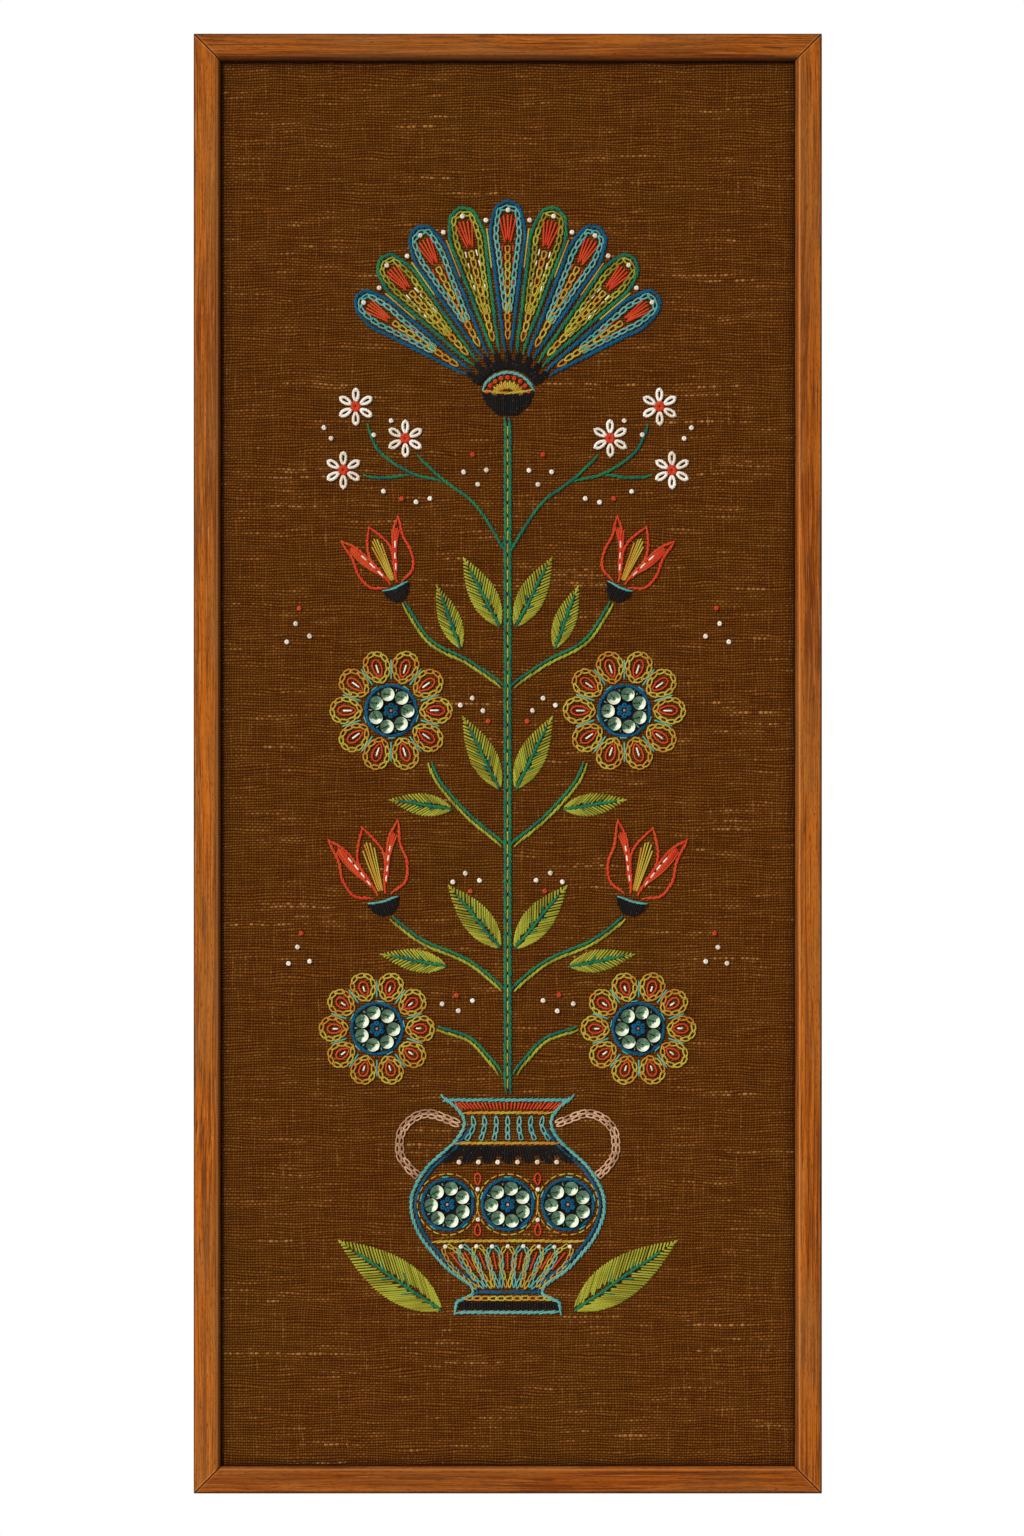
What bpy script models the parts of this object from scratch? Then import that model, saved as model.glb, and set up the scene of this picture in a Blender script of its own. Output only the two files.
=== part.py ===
"""Framed embroidery, hung upright: a mitred wooden frame, the ground cloth on its mount board, and the
stitched motifs as low raised solids, each of its own yarn colour.

Metres, +Z up, +X to the viewer's right. The front faces -Y and the frame's back plane, which meets the
wall, is Y = 0. The origin is the middle of the top rail's flat back face. The motifs' tables are in
millimetres from the picture's centre, x and z, for the right side, and each is mirrored to the left.
"""

import math

import bmesh
import bpy
from mathutils import Vector

MM = 0.001

# Driving dimensions of the frame
OUTER_WIDTH = 355 * MM
OUTER_HEIGHT = 825 * MM
RAIL_FACE = 15 * MM
RAIL_DEPTH = 19 * MM
LIP_WIDTH = 5 * MM
LIP_DEPTH = 4.5 * MM
BEVEL_WIDTH = 3.3 * MM
BEVEL_DEPTH = 2.4 * MM
BEVEL_SAG = 0.42
SIGHT_EDGE = 0.4 * MM
ARRIS_RADIUS = 1.2 * MM
ARRIS_STEPS = 4
BACK_CHAMFER = 0.6 * MM

# Driving dimensions of the cloth, its board and the stitching
CLOTH_THICKNESS = 1.2 * MM
BOARD_THICKNESS = 3 * MM
EDGE_PLAY = 0.5 * MM
PIECE_GAP = 0.3 * MM
STITCH_HEIGHT = 1.2 * MM
BOSS_HEIGHT = 1.8 * MM
SHOULDER = 0.8 * MM
FINE_SHOULDER = 0.4 * MM
SHARP_ANGLE = math.radians(35)

# Stitched lines: half width and height
STEM_SIZE = (2.8 * MM, 1.4 * MM)
BRANCH_SIZE = (2.2 * MM, 1.25 * MM)
SPRIG_SIZE = (1.3 * MM, 1.15 * MM)
HANDLE_SIZE = (2.4 * MM, 1.2 * MM)
BRANCH_LIFT = 0.05 * MM
BRANCH_STEP = 0.005 * MM

# Places worked out from the sizes above
BACK_STRIP = RAIL_FACE - LIP_WIDTH
CENTRE_Z = BACK_STRIP / 2 - OUTER_HEIGHT / 2
CLOTH_FRONT_Y = -(RAIL_DEPTH - LIP_DEPTH - PIECE_GAP)
BOARD_FRONT_Y = CLOTH_FRONT_Y + CLOTH_THICKNESS + PIECE_GAP
STITCH_Y = CLOTH_FRONT_Y - PIECE_GAP
PANEL_WIDTH = OUTER_WIDTH - 2 * BACK_STRIP - 2 * EDGE_PLAY
PANEL_HEIGHT = OUTER_HEIGHT - 2 * BACK_STRIP - 2 * EDGE_PLAY
SIDES = {"left": -1, "right": 1}

# Finishes: linear colour, roughness
FINISHES = {
    "frame_wood": ((0.42, 0.125, 0.028), 0.45),
    "ground_cloth": ((0.105, 0.038, 0.008), 0.9),
    "mount_board": ((0.30, 0.19, 0.095), 0.85),
    "yarn_blue": ((0.004, 0.10, 0.30), 0.85),
    "yarn_turquoise": ((0.15, 0.45, 0.38), 0.85),
    "yarn_green": ((0.008, 0.19, 0.085), 0.85),
    "yarn_olive": ((0.34, 0.30, 0.02), 0.85),
    "yarn_gold": ((0.43, 0.27, 0.025), 0.85),
    "yarn_red": ((0.66, 0.04, 0.015), 0.85),
    "yarn_white": ((0.80, 0.74, 0.64), 0.85),
    "yarn_black": ((0.008, 0.007, 0.008), 0.9),
    "yarn_taupe": ((0.44, 0.23, 0.14), 0.85),
    "sequin": ((0.50, 0.68, 0.48), 0.2),
}

# Leaves: base x and z, lean from upright towards the side, length, width
LEAVES = {
    "leaf_low": (4.2, -104, 40, 46, 17),
    "leaf_middle": (4.6, -14, 27, 46, 16),
    "leaf_high": (4.6, 78, 28, 44, 16),
    "leaf_tulip": (35, -114.5, 80, 38, 13),
    "leaf_round": (31.8, -25.5, 82, 36, 13),
    "leaf_bud": (26.6, 65.5, 21, 38, 13),
    "leaf_ground": (38, -309, 56, 70, 24),
}
LEAF_STEPS = 8

# Round flowers: centre x and z, outer radius of the petals
ROUND_FLOWERS = {
    "round_flower_low": (74, -150, 33),
    "round_flower_high": (66, 30, 35),
}
BOSS_RADIUS = 15.3
BOSS_SIDES = 20
RING_INNER_RADIUS = 15.9
PETALS = 10
PETAL_SWELL = (0.86, 0.965, 1.0, 0.965)

# Tulips: base x and z, lean, height, width
TULIPS = {
    "tulip_low": (68, -86, 16, 54, 44),
    "tulip_high": (60, 92, 24, 48, 38),
}
CALYX_HEIGHT = 9
CALYX_SHARE = 0.42
CALYX_GAP = 0.5

# A tulip's right side above its foot: share of the width, share of the height
TULIP_SIDE = (
    (0.36, 0.27),
    (0.46, 0.48),
    (0.44, 0.70),
    (0.50, 0.97),
    (0.30, 0.85),
    (0.18, 0.72),
)
TULIP_FOOT_SHARE = 0.13

# A calyx's right side from its foot up: share of the width, share of the height
CALYX_SIDE = ((0.18, 0), (0.42, 0.45), (0.5, 1))
CALYX_DIP = 0.9

# Small stars: centre x and z, outer radius
STARS = {
    "star_inner": (58, 184, 10.5),
    "star_middle": (86, 202, 10.5),
    "star_outer": (93, 166, 10.5),
}
STAR_POINTS = 6
STAR_INNER_SHARE = 0.45

# The fan at the top
FAN_BASE_Z = 206
FAN_LOBES = 9
FAN_HALF_ANGLE = 63
FAN_INNER_RADIUS = 15
FAN_INNER_STEPS = 6
FAN_RADIUS = 114
FAN_SIDE_LOSS = 0.10
FAN_SWELL = (0.87, 0.95, 0.985, 1.0, 0.985, 0.95)
FAN_CALYX_HEIGHT = 14
FAN_CALYX_WIDTH = 30
FAN_CALYX_GAP = 2

# The vase's right side: z, half width
VASE_PROFILE = (
    (-312, 31),
    (-304, 30),
    (-298, 21),
    (-286, 36),
    (-266, 52),
    (-246, 56),
    (-228, 47),
    (-214, 32),
    (-204, 26),
    (-196, 30),
    (-189, 39),
)
VASE_STEPS = 2
HANDLE_ROUTE = ((29.5, -203), (46, -198), (59, -206), (61, -220), (54.5, -231))

# Routes of the stem, of the branches to the flowers and of the sprigs to the stars
STEM_ROUTE = ((0, -187), (0, -60), (0, 60), (0, 196))
BRANCH_ROUTES = {
    "low": ((2, -178), (10, -168), (22, -156), (40, -150)),
    "tulip": ((0, -130), (22, -112.5), (48, -101), (66.2, -87.5)),
    "round": ((0, -48), (22, -30), (38, -12), (44.5, 0.5)),
    "bud": ((0, 42), (22, 57), (44, 69), (59.2, 91)),
}
SPRIG_ROUTES = {
    "inner": ((0, 118), (18, 146), (36, 160), (51.5, 174.5)),
    "middle": ((36, 160), (54, 164), (72, 176), (80, 192)),
    "outer": ((54, 164), (66, 162), (76, 162), (82, 163)),
}
ROUTE_STEPS = 4

# A stitched line's section, from one foot round to the other: share of the half width, share of the height
LINE_SHOULDERS = ((1, 0.55), (0.5, 1), (-0.5, 1), (-1, 0.55))


def clear_scene():
    for obj in list(bpy.data.objects):
        bpy.data.objects.remove(obj)


def make_material(name):
    colour, roughness = FINISHES[name]
    material = bpy.data.materials.new(name)
    material.use_nodes = True
    shader = material.node_tree.nodes["Principled BSDF"]
    shader.inputs["Base Color"].default_value = (*colour, 1)
    shader.inputs["Roughness"].default_value = roughness
    return material


def add_object(name, bm, finish, parent, location=(0, 0, 0), lean=0.0):
    """One named solid from a bmesh, turned by lean degrees about Y at its location."""
    bmesh.ops.recalc_face_normals(bm, faces=bm.faces)
    if bm.calc_volume(signed=True) < 0:
        bmesh.ops.reverse_faces(bm, faces=bm.faces)
    mesh = bpy.data.meshes.new(name)
    bm.to_mesh(mesh)
    bm.free()
    mesh.shade_smooth()
    mesh.set_sharp_from_angle(angle=SHARP_ANGLE)
    mesh.materials.append(bpy.data.materials[finish])
    obj = bpy.data.objects.new(name, mesh)
    bpy.context.scene.collection.objects.link(obj)
    obj.parent = parent
    obj.location = location
    obj.rotation_euler = (0, math.radians(lean), 0)
    return obj


def smooth_route(points, steps=ROUTE_STEPS):
    """Points in metres along the smooth curve through points given in millimetres (Catmull-Rom)."""
    ends = [Vector(p) * MM for p in points]
    padded = [2 * ends[0] - ends[1], *ends, 2 * ends[-1] - ends[-2]]
    route = []
    for a, b, c, d in zip(padded, padded[1:], padded[2:], padded[3:]):
        for k in range(steps):
            t = k / steps
            bend = (2 * a - 5 * b + 4 * c - d) * t**2 + (3 * b - a - 3 * c + d) * t**3
            route.append(b + ((c - a) * t + bend) / 2)
    route.append(ends[-1])
    return route


def outward_normals(outline):
    """Unit normals of a counter-clockwise closed outline, at its points."""
    count = len(outline)
    normals = []
    for i, point in enumerate(outline):
        before = (point - outline[i - 1]).normalized()
        after = (outline[(i + 1) % count] - point).normalized()
        along = (before + after).normalized()
        normals.append(Vector((along.y, -along.x)))
    return normals


def inset_outline(outline, distance):
    """The outline moved inwards, or outwards where the distance is negative."""
    return [p - n * distance for p, n in zip(outline, outward_normals(outline))]


def loop_at(bm, outline, height):
    return [bm.verts.new((p.x, -height, p.y)) for p in outline]


def wall_between(bm, first, second):
    count = len(first)
    for i in range(count):
        j = (i + 1) % count
        bm.faces.new((first[i], first[j], second[j], second[i]))


def pad(outline, height, shoulder):
    """A raised pad with a soft shoulder on a counter-clockwise outline in X and Z, rising towards -Y."""
    bm = bmesh.new()
    foot = loop_at(bm, outline, 0)
    edge = loop_at(bm, outline, height - shoulder / 2)
    top = loop_at(bm, inset_outline(outline, shoulder), height)
    wall_between(bm, foot, edge)
    wall_between(bm, edge, top)
    bm.faces.new(foot)
    bm.faces.new(top)
    return bm


def ring_pad(outer, inner, height, shoulder):
    """A raised ring with soft shoulders between two outlines that have the same number of points."""
    bm = bmesh.new()
    loops = [
        loop_at(bm, inner, 0),
        loop_at(bm, outer, 0),
        loop_at(bm, outer, height - shoulder / 2),
        loop_at(bm, inset_outline(outer, shoulder), height),
        loop_at(bm, inset_outline(inner, -shoulder / 2), height),
        loop_at(bm, inner, height - shoulder / 2),
    ]
    for first, second in zip(loops, loops[1:] + loops[:1]):
        wall_between(bm, first, second)
    return bm


def ridge(points, half_width, height, lift=0.0):
    """A low rounded line of stitching on a smooth route, rising towards -Y."""
    bm = bmesh.new()
    route = smooth_route(points)
    sections = []
    for i, point in enumerate(route):
        along = (route[min(i + 1, len(route) - 1)] - route[max(i - 1, 0)]).normalized()
        across = Vector((along.y, -along.x)) * half_width
        section = []
        for share, rise in ((-1, lift), (1, lift), *((x, height * y) for x, y in LINE_SHOULDERS)):
            place = point + across * share
            section.append(bm.verts.new((place.x, -rise, place.y)))
        sections.append(section)
    for first, second in zip(sections, sections[1:]):
        wall_between(bm, first, second)
    bm.faces.new(sections[0])
    bm.faces.new(sections[-1])
    return bm


def polar(radius, degrees):
    """A point in metres at a radius in millimetres, with its angle counted from straight up towards +X."""
    angle = math.radians(degrees)
    return Vector((math.sin(angle), math.cos(angle))) * radius * MM


def mirrored_outline(right, top=()):
    """A counter-clockwise outline from its right side, given upwards in millimetres, and a middle top."""
    left = [(-x, z) for x, z in reversed(right) if x]
    return [Vector(p) * MM for p in (*right, *top, *left)]


def leaf_outline(length, width):
    """A pointed leaf from its base at the origin upwards, widest just below its middle."""
    shares = [k / LEAF_STEPS for k in range(LEAF_STEPS)]
    right = [(width / 2 * math.sin(math.pi * t**0.8) ** 0.9, length * t) for t in shares]
    return mirrored_outline(right, [(0, length)])


def tulip_outline(height, width):
    """The cup of a three-pointed tulip, above the space for its calyx."""
    foot = (TULIP_FOOT_SHARE * width, CALYX_HEIGHT + CALYX_GAP)
    return mirrored_outline([foot, *((x * width, z * height) for x, z in TULIP_SIDE)], [(0, height)])


def calyx_outline(width, height):
    """A small cup that carries a flower head, from the origin upwards."""
    return mirrored_outline([(x * width, z * height) for x, z in CALYX_SIDE], [(0, CALYX_DIP * height)])


def star_outline(radius):
    reach = (radius, radius * STAR_INNER_SHARE)
    return [polar(reach[k % 2], -180 * k / STAR_POINTS) for k in range(2 * STAR_POINTS)]


def petal_outlines(radius):
    """The scalloped outer edge of a ring of petals, and its round inner edge."""
    count = PETALS * len(PETAL_SWELL)
    angles = [-360 * k / count for k in range(count)]
    outer = [polar(radius * PETAL_SWELL[k % len(PETAL_SWELL)], angle) for k, angle in enumerate(angles)]
    return outer, [polar(RING_INNER_RADIUS, angle) for angle in angles]


def fan_outline():
    """Rounded lobes that spread upwards from the fan's base, a little shorter towards its sides."""
    count = FAN_LOBES * len(FAN_SWELL)
    outline = []
    for k in range(count + 1):
        spread = 1 - 2 * k / count
        reach = FAN_RADIUS * (1 - FAN_SIDE_LOSS * spread**2) * FAN_SWELL[k % len(FAN_SWELL)]
        outline.append(polar(reach, FAN_HALF_ANGLE * spread))
    for k in range(FAN_INNER_STEPS + 1):
        outline.append(polar(FAN_INNER_RADIUS, FAN_HALF_ANGLE * (2 * k / FAN_INNER_STEPS - 1)))
    return outline


def vase_outline():
    right = smooth_route([(width, z) for z, width in VASE_PROFILE], VASE_STEPS)
    return right + [Vector((-p.x, p.y)) for p in reversed(right)]


def rail(name, run, reach, turn, parent):
    """A moulding with mitred ends: run is half its outer length, and reach the frame's half size across it.
    It is made as the top rail, with its outer edge up, and turned about Y to its side."""
    corner = [math.radians(90 * k / ARRIS_STEPS) for k in range(ARRIS_STEPS + 1)]
    section = [
        *[(ARRIS_RADIUS * (1 - math.cos(a)), ARRIS_RADIUS * (1 - math.sin(a))) for a in corner],
        (RAIL_FACE - BEVEL_WIDTH, 0),
        (RAIL_FACE - BEVEL_WIDTH / 2, BEVEL_DEPTH * BEVEL_SAG),
        (RAIL_FACE - SIGHT_EDGE, BEVEL_DEPTH),
        (RAIL_FACE, BEVEL_DEPTH + 1.5 * SIGHT_EDGE),
        (RAIL_FACE, LIP_DEPTH),
        (BACK_STRIP, LIP_DEPTH),
        (BACK_STRIP, RAIL_DEPTH),
        (BACK_CHAMFER, RAIL_DEPTH),
        (0, RAIL_DEPTH - BACK_CHAMFER),
    ]
    mitre_relief = PIECE_GAP / 2 * math.sqrt(2)
    bm = bmesh.new()
    ends = []
    for side in (-1, 1):
        shape = [(run - inset - mitre_relief, depth - RAIL_DEPTH, reach - inset) for inset, depth in section]
        ends.append([bm.verts.new((side * x, y, z)) for x, y, z in shape])
    wall_between(bm, *ends)
    for end in ends:
        bm.faces.new(end)
    add_object(name, bm, "frame_wood", parent, lean=turn)


def slab(name, front_y, thickness, parent):
    """A flat panel that fills the rebate, in the finish of its own name."""
    bm = bmesh.new()
    bmesh.ops.create_cube(bm, size=1)
    bmesh.ops.scale(bm, vec=(PANEL_WIDTH, thickness, PANEL_HEIGHT), verts=bm.verts)
    add_object(name, bm, name, parent, (0, front_y + thickness / 2, 0))


def build_frame(picture):
    half_width, half_height = OUTER_WIDTH / 2, OUTER_HEIGHT / 2
    rail("frame_rail_top", half_width, half_height, 0, picture)
    rail("frame_rail_right", half_height, half_width, 90, picture)
    rail("frame_rail_bottom", half_width, half_height, 180, picture)
    rail("frame_rail_left", half_height, half_width, -90, picture)
    slab("ground_cloth", CLOTH_FRONT_Y, CLOTH_THICKNESS, picture)
    slab("mount_board", BOARD_FRONT_Y, BOARD_THICKNESS, picture)


def add_motif(name, bm, finish, picture, x=0.0, z=0.0, lean=0.0):
    """A raised motif on the cloth, its place in millimetres from the picture's centre."""
    return add_object(name, bm, finish, picture, (x * MM, STITCH_Y, z * MM), lean)


def build_stems(picture):
    """The main stem with its branches and sprigs, joined into one line. Each branch has its own depth and
    height, a few microns apart, so that no two faces coincide where they join."""
    stems = add_motif("stems", ridge(STEM_ROUTE, *STEM_SIZE), "yarn_green", picture)
    lines = [(name, route, BRANCH_SIZE) for name, route in BRANCH_ROUTES.items()]
    lines += [(name, route, SPRIG_SIZE) for name, route in SPRIG_ROUTES.items()]
    step = 0
    for name, route, (half_width, height) in lines:
        for side_name, side in SIDES.items():
            step += BRANCH_STEP
            points = [(side * x, z) for x, z in route]
            bm = ridge(points, half_width, height - step, BRANCH_LIFT + step)
            branch = add_motif(f"branch_{name}_{side_name}", bm, "yarn_green", picture)
            branch.hide_render = True
            branch.display_type = "WIRE"
            join = stems.modifiers.new(f"join_{name}_{side_name}", "BOOLEAN")
            join.operation = "UNION"
            join.object = branch


def build_vase(picture):
    add_motif("vase", pad(vase_outline(), STITCH_HEIGHT, SHOULDER), "yarn_turquoise", picture)
    for side_name, side in SIDES.items():
        route = [(side * x, z) for x, z in HANDLE_ROUTE]
        add_motif(f"vase_handle_{side_name}", ridge(route, *HANDLE_SIZE), "yarn_taupe", picture)


def build_leaves(picture):
    for name, (x, z, lean, length, width) in LEAVES.items():
        for side_name, side in SIDES.items():
            bm = pad(leaf_outline(length, width), STITCH_HEIGHT, FINE_SHOULDER)
            add_motif(f"{name}_{side_name}", bm, "yarn_olive", picture, side * x, z, side * lean)


def build_round_flowers(picture):
    disc = [polar(BOSS_RADIUS, -360 * k / BOSS_SIDES) for k in range(BOSS_SIDES)]
    for name, (x, z, radius) in ROUND_FLOWERS.items():
        for side_name, side in SIDES.items():
            petals = ring_pad(*petal_outlines(radius), STITCH_HEIGHT, SHOULDER)
            add_motif(f"{name}_petals_{side_name}", petals, "yarn_gold", picture, side * x, z)
            boss = pad(disc, BOSS_HEIGHT, SHOULDER)
            add_motif(f"{name}_sequins_{side_name}", boss, "sequin", picture, side * x, z)


def build_tulips(picture):
    for name, (x, z, lean, height, width) in TULIPS.items():
        for side_name, side in SIDES.items():
            cup = pad(tulip_outline(height, width), STITCH_HEIGHT, FINE_SHOULDER)
            add_motif(f"{name}_cup_{side_name}", cup, "yarn_red", picture, side * x, z, side * lean)
            calyx = pad(calyx_outline(CALYX_SHARE * width, CALYX_HEIGHT), STITCH_HEIGHT, FINE_SHOULDER)
            add_motif(f"{name}_calyx_{side_name}", calyx, "yarn_black", picture, side * x, z, side * lean)


def build_stars(picture):
    for name, (x, z, radius) in STARS.items():
        for side_name, side in SIDES.items():
            bm = pad(star_outline(radius), STITCH_HEIGHT, FINE_SHOULDER)
            add_motif(f"{name}_{side_name}", bm, "yarn_white", picture, side * x, z)


def build_fan(picture):
    add_motif("fan", pad(fan_outline(), STITCH_HEIGHT, SHOULDER), "yarn_blue", picture, z=FAN_BASE_Z)
    foot_z = FAN_BASE_Z + polar(FAN_INNER_RADIUS, FAN_HALF_ANGLE).y / MM
    calyx = pad(calyx_outline(FAN_CALYX_WIDTH, FAN_CALYX_HEIGHT), STITCH_HEIGHT, FINE_SHOULDER)
    add_motif("fan_calyx", calyx, "yarn_black", picture, z=foot_z - FAN_CALYX_GAP - FAN_CALYX_HEIGHT)


def main():
    clear_scene()
    for name in FINISHES:
        make_material(name)
    picture = bpy.data.objects.new("picture", None)
    bpy.context.scene.collection.objects.link(picture)
    picture.location = (0, 0, CENTRE_Z)
    build_frame(picture)
    build_stems(picture)
    build_vase(picture)
    build_leaves(picture)
    build_round_flowers(picture)
    build_tulips(picture)
    build_stars(picture)
    build_fan(picture)


main()
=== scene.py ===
"""Framed embroidery: the finish of its wood and cloth, and every stitch of it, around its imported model.

The stitches are worked out in picture coordinates, in millimetres: u to the viewer's right and v up, both
from the middle of the picture, and h out of the cloth. Settings and finished meshes are in metres.
"""

import math
from collections import namedtuple

import bpy
import numpy as np
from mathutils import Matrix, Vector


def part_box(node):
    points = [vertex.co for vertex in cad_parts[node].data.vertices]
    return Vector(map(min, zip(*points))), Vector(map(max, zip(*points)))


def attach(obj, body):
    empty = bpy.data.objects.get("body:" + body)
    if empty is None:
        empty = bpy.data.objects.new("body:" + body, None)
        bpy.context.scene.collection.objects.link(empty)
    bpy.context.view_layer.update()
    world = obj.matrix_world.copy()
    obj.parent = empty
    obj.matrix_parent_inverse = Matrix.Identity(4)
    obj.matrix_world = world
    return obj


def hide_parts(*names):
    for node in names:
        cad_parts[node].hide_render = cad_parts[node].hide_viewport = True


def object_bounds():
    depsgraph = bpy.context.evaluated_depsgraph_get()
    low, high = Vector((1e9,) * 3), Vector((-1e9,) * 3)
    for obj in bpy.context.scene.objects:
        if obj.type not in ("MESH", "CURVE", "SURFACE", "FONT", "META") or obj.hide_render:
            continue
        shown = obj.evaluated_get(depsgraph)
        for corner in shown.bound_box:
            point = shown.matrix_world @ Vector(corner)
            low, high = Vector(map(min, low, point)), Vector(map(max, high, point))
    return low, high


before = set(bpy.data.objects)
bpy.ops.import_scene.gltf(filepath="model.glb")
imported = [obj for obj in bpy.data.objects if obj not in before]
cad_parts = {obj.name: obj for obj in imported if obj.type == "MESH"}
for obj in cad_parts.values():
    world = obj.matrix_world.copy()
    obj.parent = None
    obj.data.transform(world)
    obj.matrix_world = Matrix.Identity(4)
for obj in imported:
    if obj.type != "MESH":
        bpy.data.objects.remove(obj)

bl_info = {
    "name": "Framed Embroidery",
    "version": (1, 0, 0),
    "blender": (4, 5, 0),
    "location": "3D View > Sidebar > Embroidery",
    "description": "Dresses a packed frame model with wood, woven cloth, wool stitches and sequins",
    "category": "Object",
}

MM = 0.001
CAD_BOX = [list(corner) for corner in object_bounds()]
CLOTH_BOX = [np.array(corner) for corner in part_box("ground_cloth")]
BOARD_BOX = [np.array(corner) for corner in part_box("mount_board")]
CENTRE_Z = (CAD_BOX[0][2] + CAD_BOX[1][2]) / 2
CLOTH_Y = float(CLOTH_BOX[0][1])
DEPTH = -CAD_BOX[0][1] / MM
SIDES = {"left": -1, "right": 1}

# How many points go round a tube of wool, round a sequin, and round and out over the floor
RING = 6
DISC_SPOKES = 28
FLOOR_SPOKES = 96
FLOOR_RINGS = 24

# Places of the motifs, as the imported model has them
LEAVES = {
    "leaf_low": (4.2, -104, 40, 46, 17),
    "leaf_middle": (4.6, -14, 27, 46, 16),
    "leaf_high": (4.6, 78, 28, 44, 16),
    "leaf_tulip": (35, -114.5, 80, 38, 13),
    "leaf_round": (31.8, -25.5, 82, 36, 13),
    "leaf_bud": (26.6, 65.5, 21, 38, 13),
    "leaf_ground": (38, -309, 56, 70, 24),
}
ROUND_FLOWERS = {"round_flower_low": (74, -150, 33), "round_flower_high": (66, 30, 35)}
ROUND_PETALS = 10
TULIPS = {"tulip_low": (68, -86, 16, 54, 44), "tulip_high": (60, 92, 24, 48, 38)}
STARS = {"star_inner": (58, 184), "star_middle": (86, 202), "star_outer": (93, 166)}
STAR_RADIUS = 10.5
STEM = ((0, -187), (0, -60), (0, 60), (0, 196))
BRANCHES = (
    ((2, -178), (10, -168), (22, -156), (40, -150)),
    ((0, -130), (22, -112.5), (48, -101), (66.2, -87.5)),
    ((0, -48), (22, -30), (38, -12), (44.5, 0.5)),
    ((0, 42), (22, 57), (44, 69), (59.2, 91)),
)
SPRIGS = (
    ((0, 118), (18, 146), (36, 160), (51.5, 174.5)),
    ((36, 160), (54, 164), (72, 176), (80, 192)),
    ((54, 164), (66, 162), (76, 162), (82, 163)),
)
VASE_SIDE = (
    *((31, -312), (30, -304), (21, -298), (36, -286), (52, -266), (56, -246)),
    *((47, -228), (32, -214), (26, -204), (30, -196), (39, -189)),
)
HANDLE = ((27.2, -204), (46, -198), (59, -206), (61, -220), (56.5, -228), (50.6, -233.5))
ROSETTE_SEQUINS = 7
ROSETTE_ROW = -249.5
ROSETTE_SPACING = 34
FAN_BASE = 206
FAN_LOBES = 9
FAN_HALF_ANGLE = math.radians(63)
FAN_RADIUS = 114
FAN_SIDE_LOSS = 0.10
FAN_SWELL = (0.87, 0.95, 0.985, 1.0, 0.985, 0.95, 0.87)
FAN_CALYX = (0, 196.8, 30, 14)

# One side of a tulip, as shares of its width and height: its outer edge, inner edge and middle line
TULIP_LINES = (
    ((0.11, 0.215), (0.34, 0.29), (0.43, 0.48), (0.415, 0.70), (0.475, 0.935)),
    ((0.475, 0.935), (0.31, 0.80), (0.195, 0.60), (0.10, 0.40), (0.045, 0.225)),
    ((0.035, 0.23), (0.15, 0.50), (0.16, 0.70), (0.0, 0.965)),
)
TULIP_SEAM = ((0.075, 0.30), (0.20, 0.55), (0.34, 0.80))

# Knots on the open cloth of the right-hand side
WHITE_KNOTS = (
    *((17, 158), (25, 165), (12, 166), (44, 150), (52, 148), (70, 154), (76, 186), (66, 194), (100, 184)),
    *((104, 190), (14, 30), (20, 37), (27, 33), (16, -66), (24, -62), (31, -67), (20, -134), (28, -140)),
    *((37, -136), (112, -112), (119, -104), (124, -113), (112, 72), (120, 79), (125, 69)),
)
RED_KNOTS = ((20, 175), (60, 150), (11, 24), (21, -72), (29, -131), (117, -96), (118, 88))


# Settings

def distance(name, description, millimetres):
    return bpy.props.FloatProperty(
        name=name, description=description, default=millimetres * MM, min=0, precision=5, unit="LENGTH"
    )


def number(name, description, default):
    return bpy.props.FloatProperty(name=name, description=description, default=default, min=0)


def share(name, description, default):
    return bpy.props.FloatProperty(
        name=name, description=description, default=default, min=0, max=1, subtype="FACTOR"
    )


def tint(name, description, default):
    return bpy.props.FloatVectorProperty(
        name=name, description=description, default=default, min=0, max=1, size=3, subtype="COLOR"
    )


class RailSettings(bpy.types.PropertyGroup):
    """Sizes and colours of the wooden frame."""

    face: distance("Face width", "Width of a rail, seen from the front", 15)
    lip: distance("Lip width", "How far a rail reaches over the cloth's edge", 5)
    lip_depth: distance("Lip depth", "From a rail's face to the back of its lip", 4.5)
    bevel_width: distance("Bevel width", "Width of the hollow bevel at the sight edge", 3.3)
    bevel_depth: distance("Bevel depth", "Depth of the hollow bevel", 2.4)
    arris: distance("Outer edge radius", "Rounding of the outer front edge", 1.2)
    back_chamfer: distance("Back chamfer", "Size of the chamfer on the back outer edge", 0.6)
    mitre_edge: distance("Mitre edge radius", "Rounding of the edges that meet at a mitre", 0.32)
    light: tint("Light wood", "Colour between the grain lines", (0.445, 0.112, 0.0065))
    dark: tint("Dark wood", "Colour of the grain lines", (0.135, 0.028, 0.003))
    # Shine also colours the painted highlight along one line of the bevel, as well as the worn wood beside
    # the mitres.
    shine: tint("Worn wood", "Colour of the palest grain and of worn edges", (0.60, 0.235, 0.065))


class ClothSettings(bpy.types.PropertyGroup):
    """Sizes and colours of the ground cloth and the board behind it."""

    pitch: distance("Thread pitch", "From one thread of the weave to the next", 1.5)
    thread: tint("Thread", "Colour on top of the threads", (0.200, 0.070, 0.0086))
    # Pit is painted shade between the threads.
    pit: tint("Pit", "Colour between the threads", (0.033, 0.0048, 0.0004))
    slub: tint("Slub", "Colour of the thick pale places in the thread", (0.47, 0.205, 0.055))
    board: tint("Board", "Colour of the pressed fibre board", (0.30, 0.19, 0.095))
    grain: tint("Board grain", "Colour of the board's darker fibres", (0.16, 0.092, 0.045))


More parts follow.
